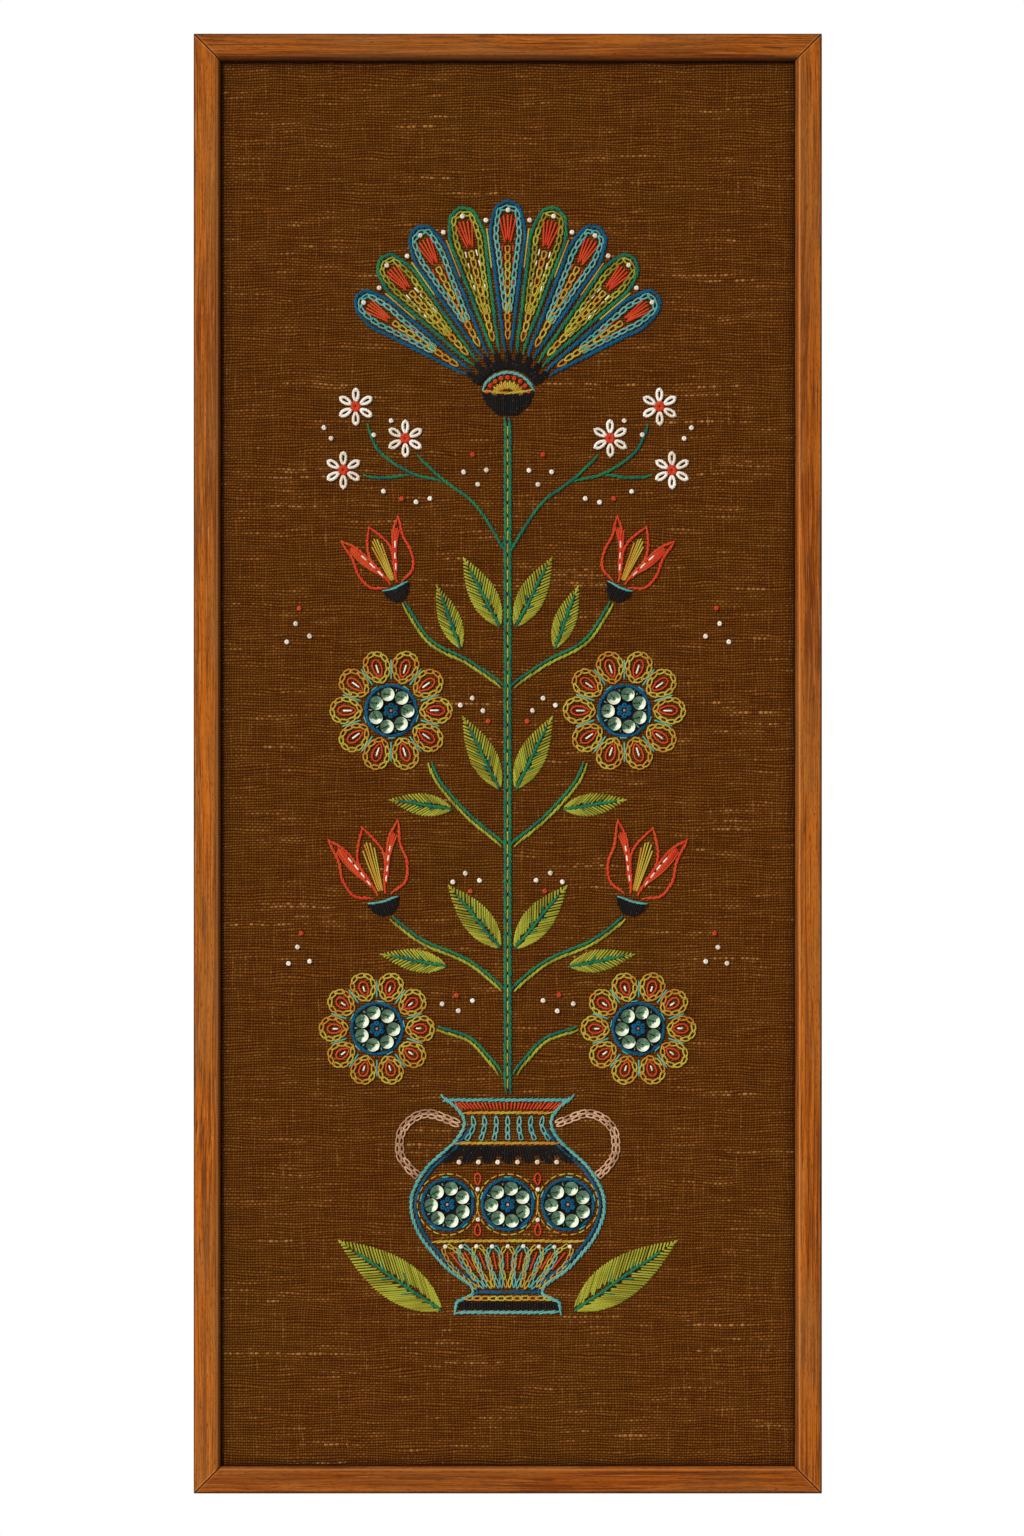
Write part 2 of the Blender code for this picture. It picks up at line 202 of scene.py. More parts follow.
class WoolSettings(bpy.types.PropertyGroup):
    """Sizes of the stitches and colours of the wool."""

    yarn: distance("Yarn radius", "Half the thickness of the wool", 0.55)
    twist: distance("Twist", "Length of yarn in which its two plies change places", 1.7)
    blue: tint("Blue", "Wool of the rings and lobes", (0.002, 0.092, 0.200))
    turquoise: tint("Turquoise", "Wool of the vase", (0.13, 0.365, 0.32))
    green: tint("Green", "Wool of the stems", (0.013, 0.178, 0.067))
    olive: tint("Olive", "Wool of the leaves", (0.350, 0.345, 0.032))
    gold: tint("Gold", "Wool of the petals", (0.455, 0.345, 0.038))
    red: tint("Red", "Wool of the tulips", (0.555, 0.037, 0.013))
    white: tint("White", "Wool of the stars", (0.84, 0.78, 0.68))
    black: tint("Black", "Wool of the calyxes", (0.005, 0.0045, 0.005))
    taupe: tint("Taupe", "Wool of the handles", (0.62, 0.37, 0.215))


class SequinSettings(bpy.types.PropertyGroup):
    """Sizes and colour of the cupped sequins."""

    radius: distance("Radius", "Half a sequin's width", 3.8)
    hole: distance("Hole radius", "Half the width of the hole in its middle", 0.5)
    cup: distance("Cup depth", "How far the rim stands above the middle", 1.7)
    thickness: distance("Thickness", "Thickness of the sheet it is pressed from", 0.12)
    # Pearl and Shade are the colours of each sequin's painted lit side and painted shaded side.
    pearl: tint("Pearl", "Colour of the side that shines", (0.56, 0.60, 0.43))
    shade: tint("Shade", "Colour of the side turned away", (0.045, 0.115, 0.062))


class StageSettings(bpy.types.PropertyGroup):
    """Camera, light and floor."""

    lens: number("Lens", "Focal length of the camera", 100)
    range: distance("Camera distance", "From the camera to the frame's face", 2410.2)
    right: distance("Camera offset right", "Camera's place to the right of the picture's middle", 2.38)
    down: distance("Camera offset down", "Camera's place below the picture's middle", 2.5)
    key: number("Key light", "Strength of the key light", 3.70)
    back: number("Back light", "Strength of the light from behind", 1.5)
    fill: share("Fill light", "Grey of the light from all round", 0.28)
    drop: distance("Floor drop", "From the frame's lower edge down to the floor", 1100)
    floor: distance("Floor radius", "Half the width of the floor", 5500)
    pale: tint("Floor", "Colour of the floor", (0.82, 0.81, 0.79))
    speck: tint("Floor grain", "Colour of the floor's darker grain", (0.74, 0.73, 0.71))


SETTINGS = {
    "embroidery_rails": RailSettings,
    "embroidery_cloth": ClothSettings,
    "embroidery_wool": WoolSettings,
    "embroidery_sequins": SequinSettings,
    "embroidery_stage": StageSettings,
}


# Node trees

class Term:
    """A number in a node tree. Arithmetic with it adds Math nodes and gives the term that they put out."""

    def __init__(self, tree, socket):
        self.tree, self.socket = tree, socket

    def do(self, operation, *others):
        node = self.tree.nodes.new("ShaderNodeMath")
        node.operation = operation
        for socket, value in zip(node.inputs, (self, *others)):
            set_socket(self.tree, socket, value)
        return Term(self.tree, node.outputs[0])

    def __add__(self, other):
        return self.do("ADD", other)

    def __sub__(self, other):
        return self.do("SUBTRACT", other)

    def __mul__(self, other):
        return self.do("MULTIPLY", other)

    def __truediv__(self, other):
        return self.do("DIVIDE", other)


def set_socket(tree, socket, value):
    """Links a term or another node's output to the socket, or gives it the plain value."""
    if isinstance(value, Term):
        value = value.socket
    if isinstance(value, bpy.types.NodeSocket):
        tree.links.new(value, socket)
    elif hasattr(value, "__len__") and len(value) == 3 and socket.type == "RGBA":
        socket.default_value = (*value, 1)
    else:
        socket.default_value = value


def add_node(tree, kind, inputs=None, **options):
    """A new node with its options set, and its inputs linked or set by name or number."""
    node = tree.nodes.new(kind)
    for option, value in options.items():
        setattr(node, option, value)
    for key, value in (inputs or {}).items():
        set_socket(tree, node.inputs[key], value)
    return node


def mix_colours(tree, factor, first, second, blend="MIX"):
    inputs = {0: factor, 6: first, 7: second}
    return add_node(tree, "ShaderNodeMix", inputs, data_type="RGBA", blend_type=blend).outputs[2]


def stretched(tree, vector, scale, shift=(0, 0, 0)):
    """The vector times a scale for each axis, plus a shift."""
    inputs = {0: vector, 1: scale, 2: shift}
    return add_node(tree, "ShaderNodeVectorMath", inputs, operation="MULTIPLY_ADD").outputs[0]


def joined(tree, x=0.0, y=0.0, z=0.0):
    return add_node(tree, "ShaderNodeCombineXYZ", {0: x, 1: y, 2: z}).outputs[0]


def axes(tree, vector):
    parts = add_node(tree, "ShaderNodeSeparateXYZ", {0: vector})
    return [Term(tree, output) for output in parts.outputs]


def noise(tree, vector, scale=1.0, detail=2.0, roughness=0.5):
    inputs = {"Vector": vector, "Scale": scale, "Detail": detail, "Roughness": roughness}
    return Term(tree, add_node(tree, "ShaderNodeTexNoise", inputs).outputs[0])


def between(tree, value, low, high):
    """0 where the value is low, 1 where it is high, and a smooth change between."""
    inputs = {"Value": value, "From Min": low, "From Max": high}
    node = add_node(tree, "ShaderNodeMapRange", inputs, interpolation_type="SMOOTHSTEP")
    return Term(tree, node.outputs[0])


def new_group(name, colours=(), numbers=(), vectors=()):
    """A node group with the input Vector and the inputs named, and the three outputs that every finish here
    gives: a colour, a roughness and a height."""
    tree = bpy.data.node_groups.new(name, "ShaderNodeTree")
    inputs = {"Vector": ("Vector", *vectors), "Color": colours, "Float": numbers}
    outputs = {"Color": ("Color",), "Float": ("Roughness", "Height")}
    for direction, sockets in (("INPUT", inputs), ("OUTPUT", outputs)):
        for kind, labels in sockets.items():
            for label in labels:
                tree.interface.new_socket(label, in_out=direction, socket_type=f"NodeSocket{kind}")
    return tree, tree.nodes.new("NodeGroupInput").outputs, tree.nodes.new("NodeGroupOutput").inputs


def put_out(tree, outputs, **values):
    for label, value in values.items():
        set_socket(tree, outputs[label], value)


# Colours that the finishes mix in beside those of the settings
WOOD_FIGURE = (0.110, 0.034, 0.010)
WOOD_VEIN = (0.080, 0.020, 0.005)
WOOD_WARMTH = (0.275, 0.108, 0.024)
WOOD_SHADE_AND_DIRT = (0.016, 0.003, 0.001)
DULLED_THREAD = (0.66, 0.60, 0.50)
OLIVE_PATCH = (0.140, 0.064, 0.005)
CLOTH_PAINTED_SHADE = (0.012, 0.003, 0.001)
WOOL_GROOVE_SHADE = (0.30, 0.27, 0.26)
WOOL_FLECK = (0.10, 0.10, 0.09)
PEARL_CLOUD = (0.17, 0.27, 0.14)


def wood_grain_group():
    """Grain that runs along X: broad bands, fine streaks and short pores, each a noise drawn out along the
    grain. It is darker by its dirt input, which carries dark mitre joints, dirt and painted shade, and paler
    by its wear input, which carries worn wood and a painted highlight."""
    colours = ("Light", "Dark", "Shine", "Tone")
    tree, given, outputs = new_group("wood_grain", colours, numbers=("Dirt", "Worn"))
    sway = noise(tree, stretched(tree, given["Vector"], (7, 40, 40)), detail=1)
    x, y, z = axes(tree, given["Vector"])
    vector = joined(tree, x, y + (sway - 0.5) * 0.004, z + (sway - 0.5) * 0.006)

    def drawn_out(along, across, detail, roughness=0.5, shift=(0, 0, 0)):
        """A noise of the swaying grain with those scales along it and across it."""
        return noise(tree, stretched(tree, vector, (along, across, across), shift), 1.0, detail, roughness)

    bands = drawn_out(6, 190, 3, 0.6)
    streaks = drawn_out(14, 1100, 4, 0.7)
    pore = between(tree, drawn_out(240, 4200, 1), 0.60, 0.72)
    line = between(tree, streaks * 0.62 + bands * 0.38, 0.36, 0.60)
    colour = mix_colours(tree, line, given["Dark"], given["Light"])
    figure = between(tree, drawn_out(10, 430, 3, 0.55, (8, 4, 6)), 0.55, 0.66)
    colour = mix_colours(tree, figure * 0.56, colour, WOOD_FIGURE)
    vein = between(tree, drawn_out(21, 1450, 1, shift=(2, 9, 4)), 0.585, 0.65)
    colour = mix_colours(tree, vein * 0.80, colour, WOOD_VEIN)
    glint = between(tree, drawn_out(30, 1500, 2, shift=(3, 1, 2)), 0.58, 0.75)
    colour = mix_colours(tree, glint * 0.55, colour, given["Shine"])
    hue = noise(tree, stretched(tree, given["Vector"], (9, 60, 60), (5, 7, 9)), detail=2)
    colour = mix_colours(tree, between(tree, hue, 0.35, 0.7) * 0.5, colour, WOOD_WARMTH)
    colour = mix_colours(tree, pore * 0.7, colour, given["Dark"])
    # The wear input brings in worn wood and a painted highlight; the dirt input brings in dark joints, dirt
    # and painted shade.
    colour = mix_colours(tree, given["Worn"], colour, given["Shine"])
    colour = mix_colours(tree, 1.0, colour, given["Tone"], blend="MULTIPLY")
    colour = mix_colours(tree, given["Dirt"], colour, WOOD_SHADE_AND_DIRT)
    rough = line * -0.10 + 0.50 + Term(tree, given["Dirt"]) * 0.3
    put_out(tree, outputs, Color=colour, Roughness=rough, Height=line * 0.5 - pore * 0.8)
    return tree


def weave_group():
    """A plain weave: thread number i across and j up, each a rounded ridge that goes over and under its
    neighbours in turn. Every thread has its own shade, which changes along it, and some weft threads have
    thick pale slubs. Painted shade darkens the cloth along the opening between its low and high corners."""
    colours = ("Thread", "Pit", "Slub")
    tree, given, outputs = new_group("plain_weave", colours, numbers=("Pitch",), vectors=("Low", "High"))
    x, _, z = axes(tree, given["Vector"])
    pitch = Term(tree, given["Pitch"])
    sway_x = noise(tree, stretched(tree, given["Vector"], (95, 0, 28)), detail=2)
    sway_z = noise(tree, stretched(tree, given["Vector"], (28, 0, 95), (4, 0, 9)), detail=2)
    across = x / pitch + (sway_x - 0.5) * 3.0
    up = z / pitch + (sway_z - 0.5) * 3.0
    i, j = across.do("FLOOR"), up.do("FLOOR")
    off_i, off_j = across - i - 0.5, up - j - 0.5
    over = (i + j).do("PINGPONG", 1.0) * 2 - 1

    def arch(off):
        """The cosine of pi times the distance off a thread's middle, in threads."""
        return (off * math.pi).do("COSINE")

    def thread(off, shade):
        """A thread's section. Its width follows its shade."""
        return arch(off / (shade * 0.9 + 0.55)).do("MAXIMUM", 0.0)

    shade_i = noise(tree, joined(tree, i * 7.31, z * 45), detail=2, roughness=0.6)
    shade_j = noise(tree, joined(tree, j * 9.17, x * 45, 5.0), detail=2, roughness=0.6)
    warp = thread(off_i, shade_i) * (arch(off_j) * over * 0.34 + 0.46)
    weft = thread(off_j, shade_j) * (arch(off_i) * over * -0.28 + 0.72)
    height = warp.do("MAXIMUM", weft)
    is_weft = weft.do("GREATER_THAN", warp)
    shade = shade_i + (shade_j - shade_i) * is_weft
    dull = mix_colours(tree, 1.0, given["Thread"], DULLED_THREAD, blend="MULTIPLY")
    colour = mix_colours(tree, between(tree, shade, 0.34, 0.66), dull, given["Thread"])
    colour = mix_colours(tree, between(tree, shade, 0.60, 0.74) * 0.40, colour, given["Slub"])
    patch = noise(tree, stretched(tree, given["Vector"], (9, 9, 9)), detail=2)
    colour = mix_colours(tree, between(tree, patch, 0.45, 0.75) * 0.30, colour, OLIVE_PATCH)
    slub = noise(tree, joined(tree, x * 190, j * 3.37, 2.0), detail=1)
    slub_run = noise(tree, joined(tree, x * 12, j * 5.71, 1.0), detail=0)
    slubbed = between(tree, slub, 0.40, 0.60) * between(tree, slub_run, 0.695, 0.775) * is_weft
    colour = mix_colours(tree, slubbed * 0.80, colour, given["Slub"])
    fibre = noise(tree, stretched(tree, given["Vector"], (2600, 2600, 2600)), detail=2)
    # The thread tops are painted light and the pits between the threads painted shade, by the weave's height.
    lit = between(tree, height, 0.20, 0.92) * 0.9 + fibre * 0.3 - 0.15
    colour = mix_colours(tree, lit.do("MAXIMUM", slubbed * 0.7), given["Pit"], colour)
    low_x, _, low_z = axes(tree, given["Low"])
    high_x, _, high_z = axes(tree, given["High"])
    inside = x - low_x
    for gap in (high_x - x, z - low_z, high_z - z):
        inside = inside.do("MINIMUM", gap)
    # Painted shade along the edges of the opening, beside and under the rails.
    painted_shade = between(tree, inside, 0.0075, 0.0) * 0.40 + between(tree, inside, 0.0016, 0.0) * 0.42
    colour = mix_colours(tree, painted_shade, colour, CLOTH_PAINTED_SHADE)
    relief = height + fibre * 0.25 + slubbed * 0.3
    put_out(tree, outputs, Color=colour, Roughness=fibre * 0.15 + 0.82, Height=relief)
    return tree


def wool_ply_group():
    """Two plies wound round each other: the height is the absolute sine of pi times the length over the
    twist plus twice the turn round the yarn. Short fibres and slow changes of the dye go over it, and the
    grooves between the plies are darkened with painted shade."""
    colours, numbers = ("Bright", "Deep"), ("Shade", "Twist")
    tree, given, outputs = new_group("wool_ply", colours, numbers, vectors=("Along",))
    length, turn, _ = axes(tree, given["Along"])
    wind = (length / Term(tree, given["Twist"]) + turn * 2) * math.pi
    ply = wind.do("SINE").do("ABSOLUTE")
    strand = joined(tree, length * 2.2 + turn * 3, turn * 14 - length * 3.0)
    fibre = noise(tree, strand, detail=2, roughness=0.6)
    dye = noise(tree, stretched(tree, given["Vector"], (55, 55, 55)), detail=2)
    fleck = noise(tree, stretched(tree, given["Vector"], (900, 900, 900)), detail=1)
    shade = Term(tree, given["Shade"]) * 0.45 + dye * 0.55
    deep = between(tree, shade, 0.62, 0.34) * 0.85
    colour = mix_colours(tree, deep, given["Bright"], given["Deep"])
    # Painted shade in the grooves between the plies, and darker fibres.
    groove_shade = between(tree, ply, 0.40, 0.0) * 0.55 + between(tree, fibre, 0.55, 0.30) * 0.22
    dark = mix_colours(tree, 1.0, colour, WOOL_GROOVE_SHADE, blend="MULTIPLY")
    colour = mix_colours(tree, groove_shade, colour, dark)
    pale = mix_colours(tree, 1.0, colour, WOOL_FLECK, blend="ADD")
    colour = mix_colours(tree, between(tree, fleck, 0.62, 0.80) * 0.35, colour, pale)
    put_out(tree, outputs, Color=colour, Roughness=fibre * 0.2 + 0.68, Height=ply * 0.7 + fibre * 0.3)
    return tree


def speckle_group():
    """Fine grains of two sizes over a plain colour, for pressed board and the floor."""
    numbers = ("Scale", "Spread", "Smoothness")
    tree, given, outputs = new_group("speckle", ("Base", "Grain"), numbers)
    scale = Term(tree, given["Scale"])
    coarse = noise(tree, given["Vector"], scale, detail=3, roughness=0.65)
    fine = noise(tree, given["Vector"], scale * 5.5, detail=2)
    mask = between(tree, coarse * 0.6 + fine * 0.4, 0.42, 0.62) * Term(tree, given["Spread"])
    colour = mix_colours(tree, mask, given["Base"], given["Grain"])
    rough = Term(tree, given["Smoothness"]) * -1 + 1 + (coarse - 0.5) * 0.12
    put_out(tree, outputs, Color=colour, Roughness=rough, Height=coarse * 0.5 + fine * 0.5)
    return tree


def pearl_group():
    """Pearly sheet with painted light and shade: Pearl where the Turned input is high, on the side that faces
    the light and on the rim, Shade on the side turned away, with a fine grain pressed into it.
    """
    tree, given, outputs = new_group("pearl", ("Pearl", "Shade"), numbers=("Turned",))
    grain = noise(tree, given["Vector"], 1500.0, detail=2)
    cloud = noise(tree, given["Vector"], 520.0, detail=1)
    # Turned is painted light: high where the sequin faces the key light.
    turned = between(tree, Term(tree, given["Turned"]) + (cloud - 0.5) * 0.6, 0.40, 0.60)
    shade = mix_colours(tree, between(tree, cloud, 0.45, 0.65) * 0.55, given["Shade"], PEARL_CLOUD)
    colour = mix_colours(tree, turned, shade, given["Pearl"])
    put_out(tree, outputs, Color=colour, Roughness=grain * 0.2 + 0.30, Height=grain)
    return tree


GROUPS = {
    "wood_grain": wood_grain_group,
    "plain_weave": weave_group,
    "wool_ply": wool_ply_group,
    "speckle": speckle_group,
    "pearl": pearl_group,
}


def group_named(name):
    return bpy.data.node_groups.get(name) or GROUPS[name]()


def finish(name, group, values, bump, shader=None, turn=0.0, uv=False, attributes=()):
    """The material of that name. Its group reads Object coordinates, turned about Y, the UV map where uv is
    true, and the mesh's attribute for each input named in attributes. Bump is the distance in millimetres
    that height 1 means."""
    material = bpy.data.materials.get(name)
    if material:
        return material
    material = bpy.data.materials.new(name)
    material.use_nodes = True
    tree = material.node_tree
    principled = tree.nodes["Principled BSDF"]
    coordinates = tree.nodes.new("ShaderNodeTexCoord")
    turned = {"Vector": coordinates.outputs["Object"], "Rotation": (0, turn, 0)}
    place = add_node(tree, "ShaderNodeMapping", turned)
    surface = add_node(tree, "ShaderNodeGroup", node_tree=group_named(group))
    values = {"Vector": place.outputs[0], **values}
    if uv:
        values["Along"] = coordinates.outputs["UV"]
    for label in attributes:
        values[label] = add_node(tree, "ShaderNodeAttribute", attribute_name=label.lower()).outputs["Fac"]
    for label, value in values.items():
        set_socket(tree, surface.inputs[label], value)
    relief = add_node(tree, "ShaderNodeBump", {"Height": surface.outputs["Height"], "Distance": bump * MM})
    seen = {"Base Color": surface.outputs["Color"], "Roughness": surface.outputs["Roughness"]}
    for label, value in {**seen, "Normal": relief.outputs[0], **(shader or {})}.items():
        set_socket(tree, principled.inputs[label], value)
    return material


# Second colour of each wool, which the dye drifts to
DEEP_WOOL = {
    "blue": (0.003, 0.060, 0.10),
    "turquoise": (0.055, 0.30, 0.27),
    "green": (0.004, 0.10, 0.085),
    "olive": (0.20, 0.17, 0.010),
    "gold": (0.46, 0.158, 0.014),
    "red": (0.53, 0.068, 0.012),
    "white": (0.68, 0.58, 0.44),
    "black": (0.012, 0.008, 0.006),
    "taupe": (0.30, 0.145, 0.075),
}


def wool_finish(colour):
    wool = bpy.context.scene.embroidery_wool
    values = {"Bright": tuple(getattr(wool, colour)), "Deep": DEEP_WOOL[colour], "Twist": wool.twist / MM}
    shader = {"Sheen Weight": 0.03, "Sheen Roughness": 0.5, "Specular IOR Level": 0.08}
    return finish(f"wool_{colour}", "wool_ply", values, 0.25, shader, uv=True, attributes=("Shade",))


# Meshes

def grid_quads(rows, columns, close_rows=False, close_columns=False):
    """Corner numbers of the quads between the points of a grid, counted row by row."""
    row, column = np.meshgrid(
        np.arange(rows - (not close_rows)), np.arange(columns - (not close_columns)), indexing="ij"
    )
    next_row, next_column = (row + 1) % rows, (column + 1) % columns
    corners = ((row, column), (next_row, column), (next_row, next_column), (row, next_column))
    return np.stack([r * columns + c for r, c in corners], -1).reshape(-1, 4)


def make_mesh(name, points, faces, uv=None, fields=None):
    """A smooth mesh from points in metres, a list of arrays of corner numbers, one uv for each face corner
    and named numbers for each point."""
    mesh = bpy.data.meshes.new(name)
    corners = np.concatenate([face.ravel() for face in faces])
    sizes = np.concatenate([np.full(len(face), face.shape[1]) for face in faces])
    mesh.vertices.add(len(points))
    mesh.vertices.foreach_set("co", np.ascontiguousarray(points, np.float32).ravel())
    mesh.loops.add(len(corners))
    mesh.loops.foreach_set("vertex_index", corners.astype(np.int32))
    mesh.polygons.add(len(sizes))
    mesh.polygons.foreach_set("loop_start", np.concatenate([[0], np.cumsum(sizes)[:-1]]).astype(np.int32))
    if uv is not None:
        mesh.uv_layers.new(name="UVMap").data.foreach_set("uv", uv.astype(np.float32).ravel())
    for label, values in (fields or {}).items():
        field = mesh.attributes.new(label, "FLOAT", "POINT")
        field.data.foreach_set("value", values.astype(np.float32).ravel())
    mesh.update(calc_edges=True)
    mesh.validate()
    mesh.shade_smooth()
    return mesh


def add_object(name, data):
    thing = bpy.data.objects.new(name, data)
    bpy.context.scene.collection.objects.link(thing)
    return thing


def make_piece(mesh, material, nodes=()):
    """The mesh as a piece that rides with the picture and stands for those nodes of the model."""
    piece = add_object(mesh.name, mesh)
    mesh.materials.append(material)
    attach(piece, "root")
    if nodes:
        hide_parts(*nodes)
    return piece


def cloth_relief(u, v):
    """How far the stretched cloth stands out, in millimetres: a few slow waves that die at its edges."""
    half_u, half_v = (CLOTH_BOX[1] - CLOTH_BOX[0])[[0, 2]] / MM / 2
    fade = np.clip((half_u - np.abs(u)) / 12, 0, 1) * np.clip((half_v - np.abs(v)) / 12, 0, 1)
    waves = 0.09 * np.sin(u / 23 + 1.3) * np.sin(v / 37 + 0.4) + 0.05 * np.sin(u / 9 + v / 13)
    return fade * (waves + 0.05 * np.sin(v / 7.3 - u / 19))


def on_cloth(points):
    """Metres from picture coordinates (u, v, h), with h counted from the cloth's uneven front."""
    u, v, h = np.moveaxis(points, -1, 0)
    return np.stack([u * MM, CLOTH_Y - (h + cloth_relief(u, v)) * MM, CENTRE_Z + v * MM], -1)


class Spot:
    """A motif's place: its stitches are made upright at the origin for the right-hand side, leaned towards
    the side by an angle in degrees, moved, and mirrored where side is -1."""

    def __init__(self, u=0.0, v=0.0, lean=0.0, side=1):
        self.u, self.v, self.lean, self.side = u, v, math.radians(lean), side

    def __call__(self, paths):
        x, y, h = np.moveaxis(paths, -1, 0)
        u = self.u + x * math.cos(self.lean) + y * math.sin(self.lean)
        v = self.v - x * math.sin(self.lean) + y * math.cos(self.lean)
        return np.stack([self.side * u, v, h], -1)


# A yarn's height when it lies on the cloth, as a share of its width
FLATNESS = 0.9


class Wool:
    """The yarn of one piece: tubes along its stitches' paths, gathered as whole arrays into one mesh."""

    def __init__(self, name, colour, nodes=()):
        self.name, self.colour, self.nodes = name, colour, nodes
        self.random = np.random.default_rng(list(name.encode()))
        self.points, self.quads, self.caps, self.uvs, self.cap_uvs, self.shades = [], [], [], [], [], []
        self.count = 0

    def add(self, paths, radius=None, wander=0.08):
        """A ring of points round each step of each path, an array of stitches by steps by (u, v, h): the
        step's place, plus the sideways direction times the cosine and the upward one times the sine. Each
        stitch is off its place by the wander, and its thickness, shade and the start of its twist vary."""
        radius = radius or bpy.context.scene.embroidery_wool.yarn / MM
        stitches, steps, _ = paths.shape
        paths = paths + self.random.normal(0, wander, (stitches, 1, 3)) * (1, 1, 0.35)
        along = np.gradient(paths, axis=1)
        along /= np.linalg.norm(along, axis=-1, keepdims=True)
        aside = np.cross(along, (0.0, 0.0, 1.0))
        aside /= np.maximum(np.linalg.norm(aside, axis=-1, keepdims=True), 1e-6)
        rise = np.cross(aside, along)
        thick = radius * np.clip(self.random.normal(1, 0.06, (stitches, steps, 1, 1)), 0.86, 1.14)
        turn = np.arange(RING) * 2 * math.pi / RING
        sideways = aside[:, :, None] * np.cos(turn)[:, None]
        upwards = rise[:, :, None] * (np.sin(turn) * FLATNESS)[:, None]
        points = paths[:, :, None] + (sideways + upwards) * thick
        first = self.count + np.arange(stitches)[:, None] * steps * RING
        self.points.append(points.reshape(-1, 3))
        self.quads.append((first[:, :, None] + grid_quads(steps, RING, close_columns=True)).reshape(-1, 4))
        start = first + np.arange(RING)
        self.caps += [start, start[:, ::-1] + (steps - 1) * RING]
        walk = np.linalg.norm(np.diff(paths, axis=1), axis=-1)
        walk = np.concatenate([np.zeros((stitches, 1)), np.cumsum(walk, axis=1)], 1)
        walk += self.random.uniform(0, 5, (stitches, 1))
        row, column = np.meshgrid(np.arange(steps - 1), np.arange(RING), indexing="ij")
        rows = np.stack([row, row + 1, row + 1, row], -1)
        columns = np.stack([column, column, column + 1, column + 1], -1) / RING
        lengths = walk[:, rows]
        self.uvs.append(np.stack([lengths, np.broadcast_to(columns, lengths.shape)], -1).reshape(-1, 2))
        ends = np.broadcast_to(walk[:, [0, -1]].T[:, :, None], (2, stitches, RING))
        self.cap_uvs.append(np.stack([ends, np.zeros_like(ends)], -1).reshape(-1, 2))
        shade = np.clip(self.random.normal(0.5, 0.22, (stitches, 1)), 0, 1)
        self.shades.append(np.repeat(shade, steps * RING, axis=1).ravel())
        self.count += stitches * steps * RING
        return self

    def finish(self):
        points = on_cloth(np.concatenate(self.points))
        uv = np.concatenate(self.uvs + self.cap_uvs)
        faces = [np.concatenate(self.quads), np.concatenate(self.caps)]
        mesh = make_mesh(self.name, points, faces, uv, {"shade": np.concatenate(self.shades)})
        return make_piece(mesh, wool_finish(self.colour), self.nodes)


# Stitches: a line that they follow, and a function for each kind, which gives their paths, an array of
# stitches by steps by (u, v, h)

class Line:
    """A smooth line through points in the picture's plane, a Catmull-Rom curve walked by its length."""

    def __init__(self, points, closed=False, steps=10):
        points = np.asarray(points, float)
        if closed:
            padded = np.concatenate([points[-1:], points, points[:2]])
        else:
            padded = np.concatenate([2 * points[:1] - points[1:2], points, 2 * points[-1:] - points[-2:-1]])
        a, b, c, d = (padded[k:len(padded) - 3 + k, None] for k in range(4))
        t = np.arange(steps)[:, None] / steps
        curve = b + ((c - a) * t + (2 * a - 5 * b + 4 * c - d) * t**2 + (3 * b - a - 3 * c + d) * t**3) / 2
        end = points[:1] if closed else points[-1:]
        self.points = np.concatenate([curve.reshape(-1, 2), end])
        self.walk = np.concatenate([[0], np.cumsum(np.linalg.norm(np.diff(self.points, axis=0), axis=1))])
        self.length, self.closed = self.walk[-1], closed

    def on(self, walked):
        walked = np.mod(walked, self.length) if self.closed else np.clip(walked, 0, self.length)
        return np.stack([np.interp(walked, self.walk, self.points[:, k]) for k in range(2)], -1)

    def at(self, walked, offset=0.0):
        """Points that far along, moved to the left of the walk by the offset."""
        reach = 0.4
        along = self.on(walked + reach) - self.on(walked - reach)
        along /= np.maximum(np.linalg.norm(along, axis=-1, keepdims=True), 1e-9)
        left = np.stack([-along[..., 1], along[..., 0]], -1)
        return self.on(walked) + left * np.asarray(offset)[..., None]

    def marks(self, spacing, start=0.0, end=None):
        """Walked lengths about that far apart, evenly from start to end."""
        end = self.length if end is None else end
        count = max(1, round((end - start) / spacing))
        return np.linspace(start, end, count + 1)


def polar(radius, angle):
    """Points at radii and angles, counted in radians from straight up towards +u."""
    radius, angle = np.broadcast_arrays(radius, angle)
    return np.stack([radius * np.sin(angle), radius * np.cos(angle)], -1)


def with_height(plane, height):
    return np.concatenate([plane, np.broadcast_to(height, plane.shape[:-1])[..., None]], -1)


def straight(starts, ends, lift=0.45, inner=2, bow=0.0):
    """Straight stitches: up out of the cloth within 0.8 mm of the start, flat on it, and down at the end.
    The bow bulges them sideways by a half sine."""
    starts, ends = np.broadcast_arrays(np.asarray(starts, float), np.asarray(ends, float))
    length = np.linalg.norm(ends - starts, axis=-1)[:, None]
    reach = np.minimum(np.array([[0.0, 0.22, 0.8]]) / length, [[0, 0.1, 0.3]])
    middle = reach[:, -1:] + (1 - 2 * reach[:, -1:]) * np.linspace(0, 1, inner + 2)[1:-1]
    t = np.concatenate([reach, middle, 1 - reach[:, ::-1]], 1)
    rise = np.concatenate([[-0.6, lift * 0.55, lift], np.full(inner, lift * 1.12), [lift, lift * 0.55, -0.6]])
    run = (ends - starts)[:, None]
    left = np.stack([-run[..., 1], run[..., 0]], -1) / length[..., None]
    bulge = np.asarray(bow, float).reshape(-1, 1, 1) * np.sin(math.pi * t)[..., None]
    return with_height(starts[:, None] + run * t[..., None] + left * bulge, rise)


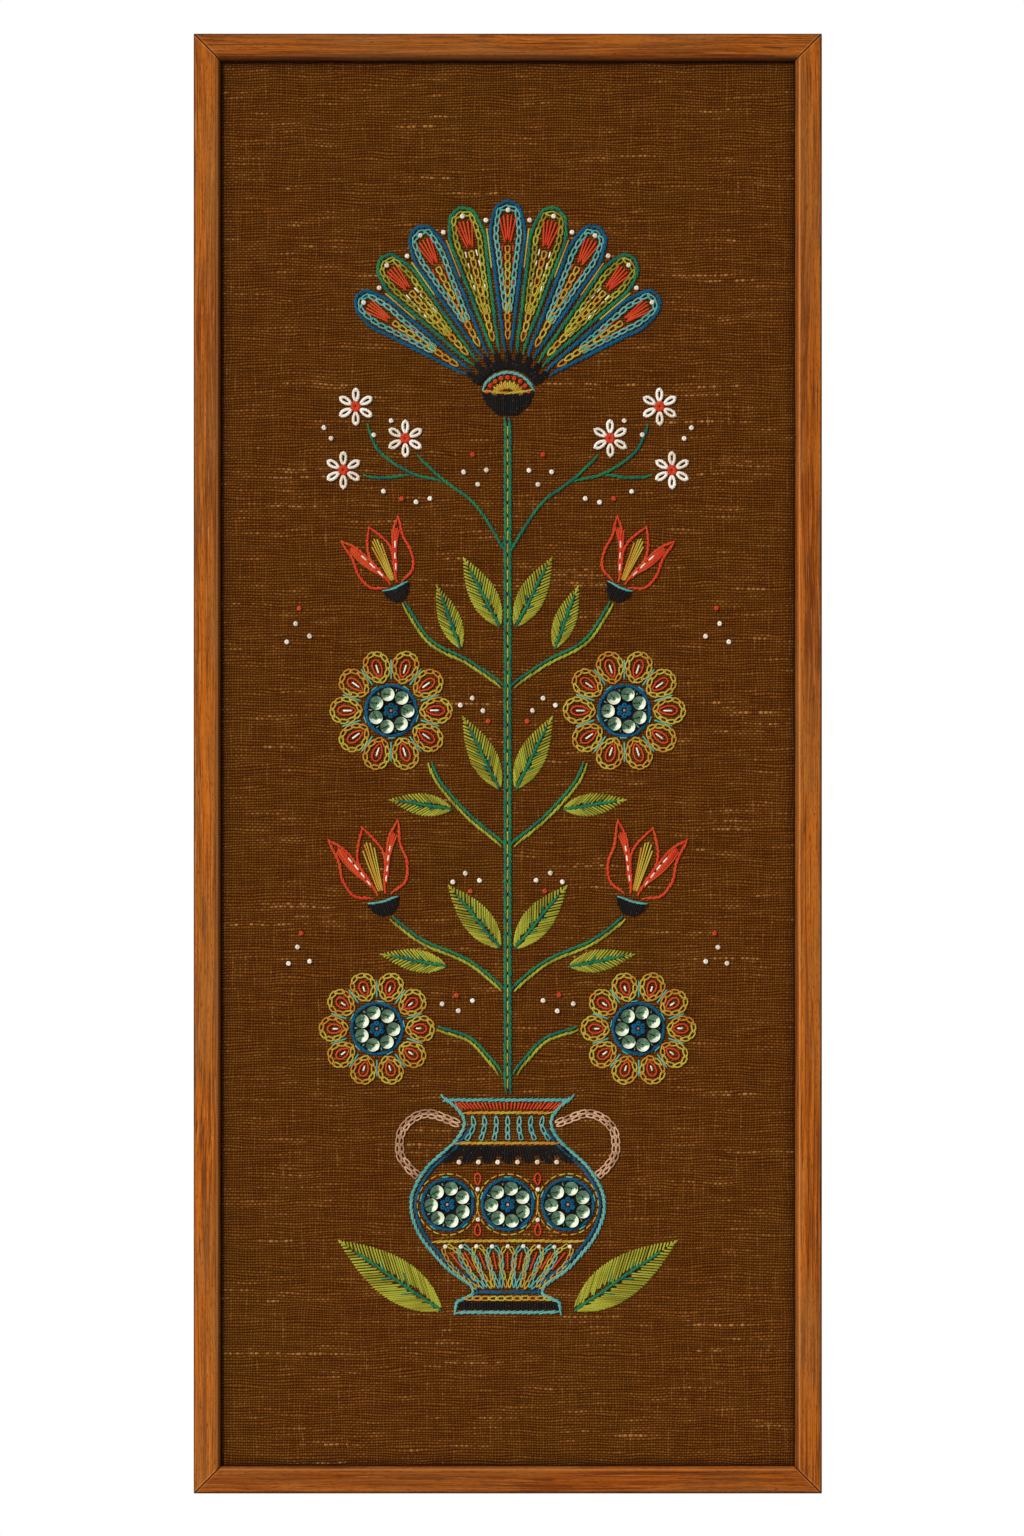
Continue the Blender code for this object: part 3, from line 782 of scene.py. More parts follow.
# The steps along a stem stitch, as shares of its length, and its height at each
ROPE_STEPS = np.array([0, 0.05, 0.16, 0.34, 0.5, 0.66, 0.84, 0.95, 1])
ROPE_RISE = 0.55 * np.array([-1.2, 0.35, 0.95, 1.1, 1.15, 1.1, 0.95, 0.35, -1.2])


def rope(line, offset=0.0, start=0.0, end=None, length=6.4, slant=0.8):
    """Stem stitch: overlapping stitches, each from the line's right side to its left, half a length apart."""
    marks = line.marks(length / 2, start, end)
    begin, step = marks[:-1] if line.closed else marks[:-2], marks[1] - marks[0]
    walked = begin[:, None] + 2 * step * ROPE_STEPS
    return with_height(line.at(walked, offset + slant * (2 * ROPE_STEPS - 1)), ROPE_RISE)


# The steps round a loop, as shares of the whole turn, closest together at its tip
LOOP_STEPS = (0, 0.05, 0.12, 0.22, 0.33, 0.42, 0.47, 0.5, 0.53, 0.58, 0.67, 0.78, 0.88, 0.95, 1)
LOOP_TURN = np.array(LOOP_STEPS) * 2 * math.pi
LINK_LAP = 1.2
TIE_LENGTH = 1.9


def loop_shape(reach, width):
    """One teardrop loop: how far along, how far aside and how high, with both ends in the cloth at its base.
    Along is half of one minus the cosine, and aside the sine, narrowed towards the base."""
    along = reach * (1 - np.cos(LOOP_TURN)) / 2
    aside = width / 2 * np.sin(LOOP_TURN) * np.abs(np.sin(LOOP_TURN / 2)) ** 0.55 * 1.12
    height = 0.42 + 0.55 * np.exp(-((along - 1.5) ** 2))
    height[[0, -1]] = -0.6
    return along, aside, height


def chain(line, offset=0.0, link=5.0, width=2.5):
    """Chain stitch: a loop for each link, which comes up inside the tip of the one before."""
    marks = line.marks(link)
    along, aside, height = loop_shape(marks[1] - marks[0] + LINK_LAP, width)
    return with_height(line.at(marks[:-1, None] + along, offset + aside), height)


def loops(bases, tips, width):
    """Single loops of chain stitch from their bases to their tips, as in a stitched daisy."""
    bases, tips = np.asarray(bases, float), np.asarray(tips, float)
    run = tips - bases
    length = np.linalg.norm(run, axis=-1, keepdims=True)
    ahead = run / length
    left = np.stack([-ahead[..., 1], ahead[..., 0]], -1)
    along, aside, height = loop_shape(1.0, width)
    plane = bases[:, None] + ahead[:, None] * (along * length)[..., None] + left[:, None] * aside[:, None]
    return with_height(plane, np.minimum(height, 0.5))


def ties(bases, tips):
    """The short stitches that hold the tips of single loops."""
    ahead = (tips - bases) / np.linalg.norm(tips - bases, axis=-1, keepdims=True)
    inward, outward = ahead * TIE_LENGTH * 0.55, ahead * TIE_LENGTH * 0.45
    return straight(tips - inward, tips + outward, lift=0.95, inner=1)


def knots(centres, size):
    """French knots: a yarn wound nearly twice round on the cloth, its end down through the middle."""
    centres = np.asarray(centres, float).reshape(-1, 2)
    t = np.linspace(0, 1, 19)
    turns = 1.9
    wind = 2 * math.pi * turns * t + np.arange(len(centres))[:, None] * 2.4
    radius = (size - 0.55) * (1 - 0.45 * t**1.5)
    radius[-1] = 0.12
    height = 0.25 + 0.95 * t**0.7
    height[0], height[-1] = -0.4, 0.1
    return with_height(centres[:, None] + polar(radius, wind), height)


def dashes(line, length, gap, start=0.0, end=None):
    """Running stitch: straight stitches with gaps between."""
    marks = line.marks(length + gap, start, end)
    stitch = (marks[1] - marks[0]) * length / (length + gap)
    return straight(line.at(marks[:-1]), line.at(marks[:-1] + stitch), inner=1)


# Pieces of wood, cloth and board

# How a rail is turned from the top one, in degrees, the tone that its wood is multiplied by, the shares of
# painted shade in the bevel's hollow and at its sight edge, the strength of the painted highlight along one
# line of the bevel, that line's place in the bevel's width, and the width in millimetres of the dark outer
# rim, which is painted shade and dirt
RailLook = namedtuple("RailLook", "turn tone hollow sight worn worn_at rim")
RAIL_LOOKS = {
    "top": RailLook(0, (0.83, 0.81, 0.82), 0.42, 0.92, 0.0, 0.0, 0.74),
    "right": RailLook(90, (0.92, 0.90, 0.86), 0.26, 0.62, 0.72, 0.28, 0.86),
    "bottom": RailLook(180, (0.77, 0.70, 0.60), 0.06, 0.22, 0.75, 0.54, 1.15),
    "left": RailLook(-90, (1.0, 1.0, 1.0), 0.02, 0.72, 0.75, 0.46, 0.74),
}


def rail_profile(rails):
    """The closed outline of a rail's section as (inset from the outer edge, depth from the face), in
    millimetres, from the outer front edge over the face and the hollow bevel, and back along the rebate."""
    face, lip, lip_depth = rails.face / MM, rails.lip / MM, rails.lip_depth / MM
    width, depth = rails.bevel_width / MM, rails.bevel_depth / MM
    arris, chamfer = rails.arris / MM, rails.back_chamfer / MM
    corner = np.linspace(0, math.pi / 2, 9)
    edge = np.stack([arris * (1 - np.cos(corner)), arris * (1 - np.sin(corner))], -1)
    across = np.linspace(arris, face - width - 0.35, 12)[1:]
    flat = np.stack([across, 0.05 * np.sin(np.linspace(0, math.pi, len(across)))], -1)
    t = np.linspace(0, 1, 9)
    hollow = np.stack([face - width + (width - 0.4) * t, depth * (0.10 * t + 0.90 * t**1.8)], -1)
    sight = [(face - 0.12, depth + 0.12), (face, depth + 0.4), (face, lip_depth - 0.15)]
    rebate = [(face - 0.15, lip_depth), (face - lip, lip_depth), (face - lip, DEPTH)]
    outside = [(chamfer, DEPTH), (0, DEPTH - chamfer), (0, DEPTH * 0.6), (0, DEPTH * 0.3), (0, arris + 0.6)]
    return np.concatenate([edge, flat, hollow, sight, rebate, outside])


def rail_sections(rails, run):
    """Where the sections of a rail stand: how far each is from its nearer end, how far its outline is drawn
    in there to round the mitre's edge, and which half of the rail it is in."""
    edge = rails.mitre_edge / MM
    rounding = edge * np.array([0, 0.08, 0.25, 0.5, 0.75, 1.0])
    near = np.concatenate([rounding, [0.45, 0.6, 0.8, 1.05, 1.3, 1.6, 2.2]])
    spans = max(6, round(run / 9))
    away = np.concatenate([near, np.linspace(near[-1], run, spans + 1)[1:]])
    dip = edge - np.sqrt(np.maximum(edge**2 - np.clip(edge - away, 0, edge) ** 2, 0))
    away, dip = (np.concatenate([half, half[-2::-1]]) for half in (away, dip))
    return away, dip, np.sign(np.arange(len(away)) - len(away) // 2)


def rail_wear(rails, profile, away, look):
    """The dark joints in the mitres, the painted shade in the bevel, the painted shade and dirt along the
    outer edge, the worn pale wood beside the mitres and the painted highlight along one line of the bevel, as
    bell curves of the distances in millimetres."""
    mitre = 0.95 * np.exp(-((away / 0.52) ** 4))[:, None]
    into = (profile[:, 0] - (rails.face - rails.bevel_width) / MM) / (rails.bevel_width / MM)
    shares = [0, 0.6 * look.hollow, look.hollow, 0.78 * look.sight, look.sight]
    # Painted shade in the bevel, deepest at the sight edge.
    bevel = np.interp(into, [-0.12, 0.02, 0.55, 0.85, 1.0], shares)
    # Painted shade and dirt along the outer rim.
    rim = 0.92 * np.exp(-((profile[:, 0] / look.rim) ** 4)) * (profile[:, 1] < rails.arris / MM + 0.1)
    # A painted highlight along one line of the bevel.
    line = look.worn * np.exp(-(((into - look.worn_at) / 0.12) ** 2)) * np.clip(away / 2, 0, 1)[:, None]
    beside = 0.5 * np.exp(-(((away - 1.05) / 0.3) ** 2))[:, None] * (profile[:, 1] < 1)
    worn = np.maximum(line, beside)
    return {"dirt": np.maximum(mitre, np.maximum(bevel, rim)) * (1 - 0.8 * worn), "worn": worn}


def rail_mesh(name, rails, run, reach, look):
    """The profile carried along a rail and cut at 45 degrees at both ends, where its edges are rounded by
    moving the section inwards. Made as the top rail, and turned about Y to its side."""
    profile = rail_profile(rails)
    ahead = np.roll(profile, -1, axis=0) - np.roll(profile, 1, axis=0)
    inward = np.stack([-ahead[:, 1], ahead[:, 0]], -1)
    inward /= np.linalg.norm(inward, axis=1, keepdims=True)
    away, dip, side = rail_sections(rails, run)
    inset, depth = np.moveaxis(profile + inward * dip[:, None, None], -1, 0)
    full = run - inset
    along = side[:, None] * (full - away[:, None] * full / run)
    wave = 0.035 * np.sin(along / 17 + reach) + 0.02 * np.sin(along / 6.1)
    depth = depth + wave * (profile[:, 1] < 3) * np.clip(away[:, None] / 8, 0, 1)
    turn = math.radians(look.turn)
    lift, sine, cosine = reach - inset, math.sin(turn), math.cos(turn)
    places = [along * cosine + lift * sine, depth - DEPTH, lift * cosine - along * sine]
    points = np.stack(places, -1).reshape(-1, 3) * MM + (0, 0, CENTRE_Z)
    rows, columns = along.shape
    quads = grid_quads(rows, columns, close_columns=True)
    ends = np.stack([np.arange(columns), (rows - 1) * columns + np.arange(columns)[::-1]])
    mesh = make_mesh(name, points, [quads, ends], None, rail_wear(rails, profile, away, look))
    mesh.set_sharp_from_angle(angle=math.radians(50))
    return mesh


def build_rails(scene):
    rails = scene.embroidery_rails
    half_width, _, half_height = ((high - low) / 2 / MM for low, high in zip(*CAD_BOX))
    colours = {label.title(): tuple(getattr(rails, label)) for label in ("light", "dark", "shine")}
    shader = {"Specular IOR Level": 0.06}
    for place, look in RAIL_LOOKS.items():
        upright = look.turn % 180 != 0
        run, reach = (half_height, half_width) if upright else (half_width, half_height)
        values, turn = {**colours, "Tone": look.tone}, math.radians(look.turn)
        fields = ("Dirt", "Worn")
        wood = finish(f"wood_{place}", "wood_grain", values, 0.12, shader, turn, attributes=fields)
        mesh = rail_mesh(f"rail_{place}", rails, run, reach, look)
        make_piece(mesh, wood, [f"frame_rail_{place}"])


def build_cloth(scene):
    cloth, rails = scene.embroidery_cloth, scene.embroidery_rails
    width, thickness, height = CLOTH_BOX[1] - CLOTH_BOX[0]
    across = np.linspace(-width / 2, width / 2, 129) / MM
    up = np.linspace(-height / 2, height / 2, 309) / MM
    u, v = np.meshgrid(across, up)
    points = on_cloth(np.stack([u, v, np.zeros_like(u)], -1))
    mesh = make_mesh("cloth_sheet", points.reshape(-1, 3), [grid_quads(*u.shape)[:, ::-1]])
    values = {label.title(): tuple(getattr(cloth, label)) for label in ("thread", "pit", "slub")}
    values |= {
        "Pitch": cloth.pitch,
        "Low": tuple(np.array(CAD_BOX[0]) + rails.face),
        "High": tuple(np.array(CAD_BOX[1]) - rails.face),
    }
    weave = finish("cloth_weave", "plain_weave", values, 0.72, {"Specular IOR Level": 0.03})
    piece = make_piece(mesh, weave, ["ground_cloth"])
    wall = piece.modifiers.new("thickness", "SOLIDIFY")
    wall.thickness, wall.offset = thickness * 0.8, -1


def build_board(scene):
    """A flat board with eased edges: an outline of its own size, drawn in by the edge's rounding, at
    several depths, closed front and back."""
    cloth = scene.embroidery_cloth
    low, high = BOARD_BOX
    half = (high - low)[[0, 2]] / 2
    ease = 0.5 * MM
    front = low[1] + ease * np.array([0, 0, 0.3, 1])
    depths = np.concatenate([front, (low[1] + high[1]) - front[::-1]])
    inset = np.array([1, 0.95, 0.3, 0, 0, 0.3, 0.95, 1]) * ease
    corners = [(-1, -1), (1, -1), (1, 1), (-1, 1)]
    edge = []
    for (a, b), (c, d), count in zip(corners, corners[1:] + corners[:1], (24, 56) * 2):
        t = np.linspace(0, 1, count, endpoint=False)
        edge.append(np.stack([a + (c - a) * t, b + (d - b) * t], -1))
    edge = np.concatenate(edge)
    across, up = np.moveaxis(edge * (half - inset[:, None])[:, None], -1, 0)
    out = np.broadcast_to(depths[:, None], across.shape)
    points = np.stack([across, out, up + (high[2] + low[2]) / 2], -1)
    quads = grid_quads(len(depths), len(edge), close_columns=True)
    first = np.arange(len(edge))
    faces = [quads[:, ::-1], np.stack([first, (len(depths) - 1) * len(edge) + first[::-1]])]
    mesh = make_mesh("board_panel", points.reshape(-1, 3), faces)
    mesh.set_sharp_from_angle(angle=math.radians(40))
    values = {"Base": tuple(cloth.board), "Grain": tuple(cloth.grain)}
    values |= {"Scale": 500.0, "Spread": 0.75, "Smoothness": 0.15}
    make_piece(mesh, finish("pressed_board", "speckle", values, 0.15), ["mount_board"])


# Stitched pieces

def build_stems(scene):
    stem = Wool("stems_rope", "green", ["stems"])
    second = Wool("stems_second_rope", "olive")
    core = Wool("stems_gold_line", "gold")
    line = Line(STEM)
    stem.add(rope(line, 1.3, slant=0.7))
    stem.add(rope(line, -1.3, slant=0.7))
    core.add(dashes(line, start=3, end=line.length - 3, length=5.2, gap=2.2) + (0, 0, 0.55), 0.42)
    for side in SIDES.values():
        spot = Spot(side=side)
        for route in BRANCHES:
            line = Line(route)
            stem.add(spot(rope(line, 1.05, start=2.4, slant=0.55)), 0.5)
            second.add(spot(rope(line, -1.05, start=3.4, slant=0.55)), 0.5)
        for route in SPRIGS:
            stem.add(spot(rope(Line(route), start=1.5, slant=0.6)), 0.5)
    for wool in (stem, second, core):
        wool.finish()


BARB_SPACING = 1.75
BARB_SLOPE = 1.25


def leaf_half_width(t, width):
    return width / 2 * np.sin(math.pi * np.clip(t, 0, 1) ** 0.8) ** 0.9


def leaf_barbs(length, width, random):
    """Slanting stitches from the leaf's edge down towards its midrib, on both sides."""
    rims = []
    for hand in (-1, 1):
        y = np.arange(2.2, length - 0.8, BARB_SPACING)
        x = leaf_half_width(y / length, width) - 0.35
        cover = np.minimum(x * random.uniform(0.72, 0.97, len(y)), (y - 0.6) / BARB_SLOPE)
        rim = np.stack([hand * x, y], -1)
        foot = np.stack([hand * (x - cover), y - BARB_SLOPE * cover], -1)
        rims.append(straight(rim, foot))
    tip = straight([[0, length - 0.2]], [[0, length - 5.5]])
    return np.concatenate([*rims, tip])


def build_leaves(scene):
    ribs = Wool("leaf_midribs", "green")
    veins = Wool("leaf_veins", "green")
    for name, (u, v, lean, length, width) in LEAVES.items():
        rib = Line([(0, -0.5), (0.25, length * 0.3), (-0.2, length * 0.6), (0, length * 0.84)])
        for side_name, side in SIDES.items():
            spot = Spot(u, v, lean, side)
            blade = Wool(f"{name}_{side_name}_blade", "olive", [f"{name}_{side_name}"])
            blade.add(spot(leaf_barbs(length, width, blade.random))).finish()
            ribs.add(spot(rope(rib, slant=0.5, length=5.6) + (0, 0, 0.35)), 0.52)
            y = length * np.array([0.34, 0.42, 0.54, 0.62])
            x = width * np.array([0.23, -0.24, 0.20, -0.18])
            foot = np.stack([x * 0.12, y - BARB_SLOPE * np.abs(x) * 0.88], -1)
            veins.add(spot(straight(np.stack([x, y], -1), foot, lift=0.85)), 0.42)
    ribs.finish()
    veins.finish()


def petal_line(inner, outer, width):
    """The outline of an upright petal whose base and tip are at those radii."""
    steps = 14
    t = np.arange(steps) / steps * 2 * math.pi
    along = inner + (outer - inner) * (1 - np.cos(t)) / 2
    aside = width / 2 * np.sin(t) * np.abs(np.sin(t / 2)) ** 0.35 * 1.06
    return Line(np.stack([aside, along], -1), closed=True, steps=6)


def circle(radius):
    """A closed circle round the origin."""
    return Line(polar(radius, np.arange(24) * math.pi / 12), closed=True, steps=4)


class Rosettes:
    """Blue ropes round seven cupped sequins, on dark stitches that partly stand in for the shade between the
    sequins, with a ring of knots in the middle: the wools that all rosettes of a motif share."""

    def __init__(self, name):
        self.wools = {c: Wool(f"{name}_{c}_stitches", c) for c in ("blue", "turquoise", "black", "taupe")}

    def add(self, u, v, side=1):
        """Stitches one rosette, and gives the places of its sequins."""
        spot = Spot(u, v, side=side)
        blue, turquoise, black, taupe = self.wools.values()
        blue.add(spot(rope(circle(14.25), slant=0.72)))
        flecks = np.arange(5) * 2 * math.pi / 5 + u
        middles, ahead = polar(15.5, flecks), polar(1, flecks + math.pi / 2)
        turquoise.add(spot(straight(middles - ahead * 2, middles + ahead * 2, lift=0.7)), 0.4)
        # Dark stitches under the sequins: partly dark wool, partly a stand-in for the shade between the
        # sequins.
        spread = np.arange(48) * math.pi / 24
        black.add(spot(straight(polar(13.3, spread), polar(4.2, spread), lift=0.2, inner=1)), 0.55)
        blue.add(spot(knots(polar(2.9, np.arange(6) * math.pi / 3), 1.75)), 0.6)
        taupe.add(spot(knots([[0, 0]], 1.0)), 0.45)
        angle = np.arange(ROSETTE_SEQUINS) * 2 * math.pi / ROSETTE_SEQUINS + 0.2
        gap = angle + math.pi / ROSETTE_SEQUINS
        turquoise.add(spot(straight(polar(12.7, gap), polar(10.6, gap), inner=1)), 0.42)
        return spot(with_height(polar(9.35, angle), 0.0)[None])[0]

    def finish(self):
        for wool in self.wools.values():
            wool.finish()


def build_round_flowers(scene):
    rosettes = Rosettes("rosette")
    inner = Wool("petal_loops", "red")
    threads = Wool("petal_divisions", "turquoise")
    hearts = Wool("petal_hearts", "white")
    for name, (u, v, radius) in ROUND_FLOWERS.items():
        petal = petal_line(17.4, radius - 1.5, 12.6 * radius / 33)
        base, tip = np.array([[0, 19.6]]), np.array([[0, radius - 5.0]])
        for side_name, side in SIDES.items():
            spot = Spot(u, v, side=side)
            petals = Wool(f"{name}_{side_name}_petals", "gold", [f"{name}_petals_{side_name}"])
            for k in range(ROUND_PETALS):
                notch, turned = (Spot(lean=360 / ROUND_PETALS * (k + part)) for part in (0, 0.5))
                petals.add(spot(turned(chain(petal, link=4.5, width=2.5))), 0.48)
                inner.add(spot(turned(loops(base, tip, 5.6))), 0.52)
                hearts.add(spot(turned(straight([[0, 22.2]], [[0, radius - 8.0]]))), 0.5)
                threads.add(spot(notch(straight([[0, 18.0]], [[0, radius * 0.82]]))), 0.5)
            petals.finish()
            places = rosettes.add(u, v, side)
            make_sequins(scene, f"{name}_{side_name}_sequins", places, [f"{name}_sequins_{side_name}"])
    for wool in (rosettes, inner, threads, hearts):
        wool.finish()


def make_sequins(scene, name, places, nodes=()):
    """Cupped discs with a hole: a bowl's section, out along its front and back along its back, turned round
    each centre and tipped a little. The field turned is painted light: high where a disc faces the light, by
    the cosine of the angle between, with a painted highlight round the rim. A dark thread runs from each hole
    over the rim."""
    look = scene.embroidery_sequins
    radius, hole, cup, sheet = look.radius / MM, look.hole / MM, look.cup / MM, look.thickness / MM
    random = np.random.default_rng(list(name.encode()))
    tilt = random.normal(0, 0.09, (2, len(places), 1))

    def bowl(part):
        return cup * np.clip(part - 0.12, 0, 1) ** 1.25

    def sewn_on(shapes):
        """The shapes tipped by each sequin's tilt, raised onto the stitches below and moved to its place."""
        flat = shapes.reshape(len(places), -1, 3)
        flat[..., 2] += flat[..., 0] * tilt[0] + flat[..., 1] * tilt[1] + 0.85
        flat[..., :2] += places[:, None, :2]
        return flat.reshape(shapes.shape)

    part = np.linspace(0, 1, 9)
    back = np.stack([hole + (radius - hole) * part, bowl(part)], -1)
    section = np.concatenate([back + (0, sheet), back[::-1]])
    angle = np.arange(DISC_SPOKES) * 2 * math.pi / DISC_SPOKES
    disc = with_height(section[:, :1] * polar(1, angle)[:, None], section[:, 1])
    discs = sewn_on(np.repeat(disc[None], len(places), 0))
    quads = grid_quads(DISC_SPOKES, len(section), close_rows=True, close_columns=True)
    faces = (np.arange(len(places))[:, None, None] * disc[..., 0].size + quads).reshape(-1, 4)
    # The side of each sequin that the painted light falls on, and how far it spreads.
    lit_side_angle = random.normal(math.radians(125), 0.45, len(places))
    wide = random.uniform(-0.25, 0.35, len(places))
    turned = (np.cos(angle - lit_side_angle[:, None]) + wide[:, None])[..., None] * 0.6 + 0.20
    turned = np.clip(turned, 0, 1) * np.interp(section[:, 0] / radius, [0.32, 0.46, 1.0], [0, 1, 1])
    # A painted highlight round the rim.
    turned += 0.22 * np.interp(section[:, 0] / radius, [0.84, 0.95], [0, 1])
    mesh = make_mesh(name, on_cloth(discs.reshape(-1, 3)), [faces], None, {"turned": turned})
    mesh.set_sharp_from_angle(angle=math.radians(60))
    values = {"Pearl": tuple(look.pearl), "Shade": tuple(look.shade)}
    shader = {"Coat Weight": 0.2, "Coat Roughness": 0.12, "Specular IOR Level": 0.35}
    pearl = finish("sequin_pearl", "pearl", values, 0.02, shader, attributes=("Turned",))
    make_piece(mesh, pearl, nodes)
    part = np.array([0.0, 0.06, 0.2, 0.45, 0.7, 0.92, 1.04, 1.1])
    lift = sheet + np.array([-0.8, -0.05, 0.1, 0.1, 0.1, 0.1, -0.15, -2.7])
    path = with_height(radius * part[:, None] * polar(1, lit_side_angle + 2.6)[:, None], bowl(part) + lift)
    Wool(f"{name}_threads", "black").add(sewn_on(path), 0.16, wander=0.02).finish()


SATIN_SPACING = 1.1


def calyx_satin(width, height):
    """Upright satin stitches that fill a small cup."""
    x = np.arange(-width / 2 + 0.5, width / 2 - 0.3, SATIN_SPACING)
    low = np.interp(np.abs(x), [0.18 * width, 0.42 * width, 0.5 * width], [0, 0.45 * height, 0.9 * height])
    high = height * (0.9 + 0.1 * (np.abs(x) / (width / 2)) ** 2)
    keep = high - low > 1.5
    return straight(np.stack([x * 0.96, low + 0.3], -1)[keep], np.stack([x, high], -1)[keep], lift=0.6)


def build_tulips(scene):
    white = Wool("tulip_white_dashes", "white")
    rays = Wool("tulip_gold_rays", "gold")
    edging = Wool("tulip_calyx_edging", "turquoise")
    for name, (u, v, lean, height, width) in TULIPS.items():
        scale = np.array([width, height])
        for side_name, side in SIDES.items():
            spot = Spot(u, v, lean, side)
            cup = Wool(f"{name}_{side_name}_cup", "red", [f"{name}_cup_{side_name}"])
            for hand in (-1, 1):
                mirror = Spot(side=hand)
                for points, slant, radius in zip(TULIP_LINES, (0.55, 0.5, 0.5), (0.52, 0.5, 0.5)):
                    cup.add(spot(mirror(rope(Line(points * scale), slant=slant, length=6))), radius)
                t = np.linspace(0.12, 0.88, 7)
                foot = np.stack([0.07 + 0.05 * t, 0.26 + 0.10 * t], -1) * scale
                top = np.stack([0.27 + 0.15 * t, 0.66 + 0.10 * t + 0.10 * np.sin(math.pi * t)], -1) * scale
                ray = straight(foot + (top - foot) * 0.12, top, inner=3, bow=-1.6 * hand * t)
                cup.add(spot(mirror(ray)), 0.5)
                seam = Line(TULIP_SEAM * scale)
                sewn = dashes(seam, start=3, end=seam.length - 4, length=3.8, gap=2.2)
                white.add(spot(mirror(sewn + (0, 0, 0.35))), 0.46)
            x = np.linspace(-0.075, 0.075, 5)
            base = np.stack([x * 0.35, np.full(5, 0.27)], -1) * scale
            top = np.stack([x, 0.80 - 14 * x**2], -1) * scale
            rays.add(spot(straight(base, top, inner=3)), 0.5)
            cup.finish()
            calyx = Wool(f"{name}_{side_name}_calyx", "black", [f"{name}_calyx_{side_name}"])
            calyx.add(spot(calyx_satin(0.42 * width, 9))).finish()
            lip = Line([(-0.20 * width, 9.1), (0, 8.3), (0.20 * width, 9.1)])
            edging.add(spot(rope(lip, length=4.6, slant=0.4) + (0, 0, 0.35)), 0.45)
    for wool in (white, rays, edging):
        wool.finish()


def build_stars(scene):
    centres = Wool("star_centres", "red")
    angle, spread = np.arange(6) * math.pi / 3, np.arange(13) * 2 * math.pi / 13
    base, tip = polar(3.2, angle), polar(STAR_RADIUS - 0.7, angle)
    for name, (u, v) in STARS.items():
        for side_name, side in SIDES.items():
            spot = Spot(u, v, side=side)
            petals = Wool(f"{name}_{side_name}_petals", "white", [f"{name}_{side_name}"])
            petals.add(spot(loops(base, tip, 3.2)), 0.86)
            petals.add(spot(ties(base, tip)), 0.5).finish()
            centres.add(spot(straight(polar(3.0, spread), polar(0.55, spread), lift=0.9, inner=1)), 0.6)
    centres.finish()


def fan_reach(angle):
    """The lobed outer edge of the fan: its radius at an angle from straight up."""
    spread = np.clip(angle / FAN_HALF_ANGLE, -1, 1)
    place = (1 - spread) / 2 * FAN_LOBES
    swell = np.interp(np.mod(place, 1), np.linspace(0, 1, 7), FAN_SWELL)
    return FAN_RADIUS * (1 - FAN_SIDE_LOSS * spread**2) * swell


def lobe_line(centre, inset, inner):
    """The outline of one lobe, up one side, round its tip and down the other, drawn in by the inset."""
    half = FAN_HALF_ANGLE / FAN_LOBES
    reach = FAN_RADIUS * (1 - FAN_SIDE_LOSS * (centre / FAN_HALF_ANGLE) ** 2)
    radius = np.linspace(inner, reach * 0.84 - inset * 0.4, 7)
    edge = np.maximum(half - inset / radius, 0.01)
    tips = np.array([-0.62, -0.33, 0, 0.33, 0.62]) * (half - inset / reach)
    crown = fan_reach(centre + tips * 1.05) - inset
    left, right = polar(radius, centre - edge), polar(radius[::-1], centre + edge[::-1])
    return Line(np.concatenate([left, polar(crown, centre + tips), right]))


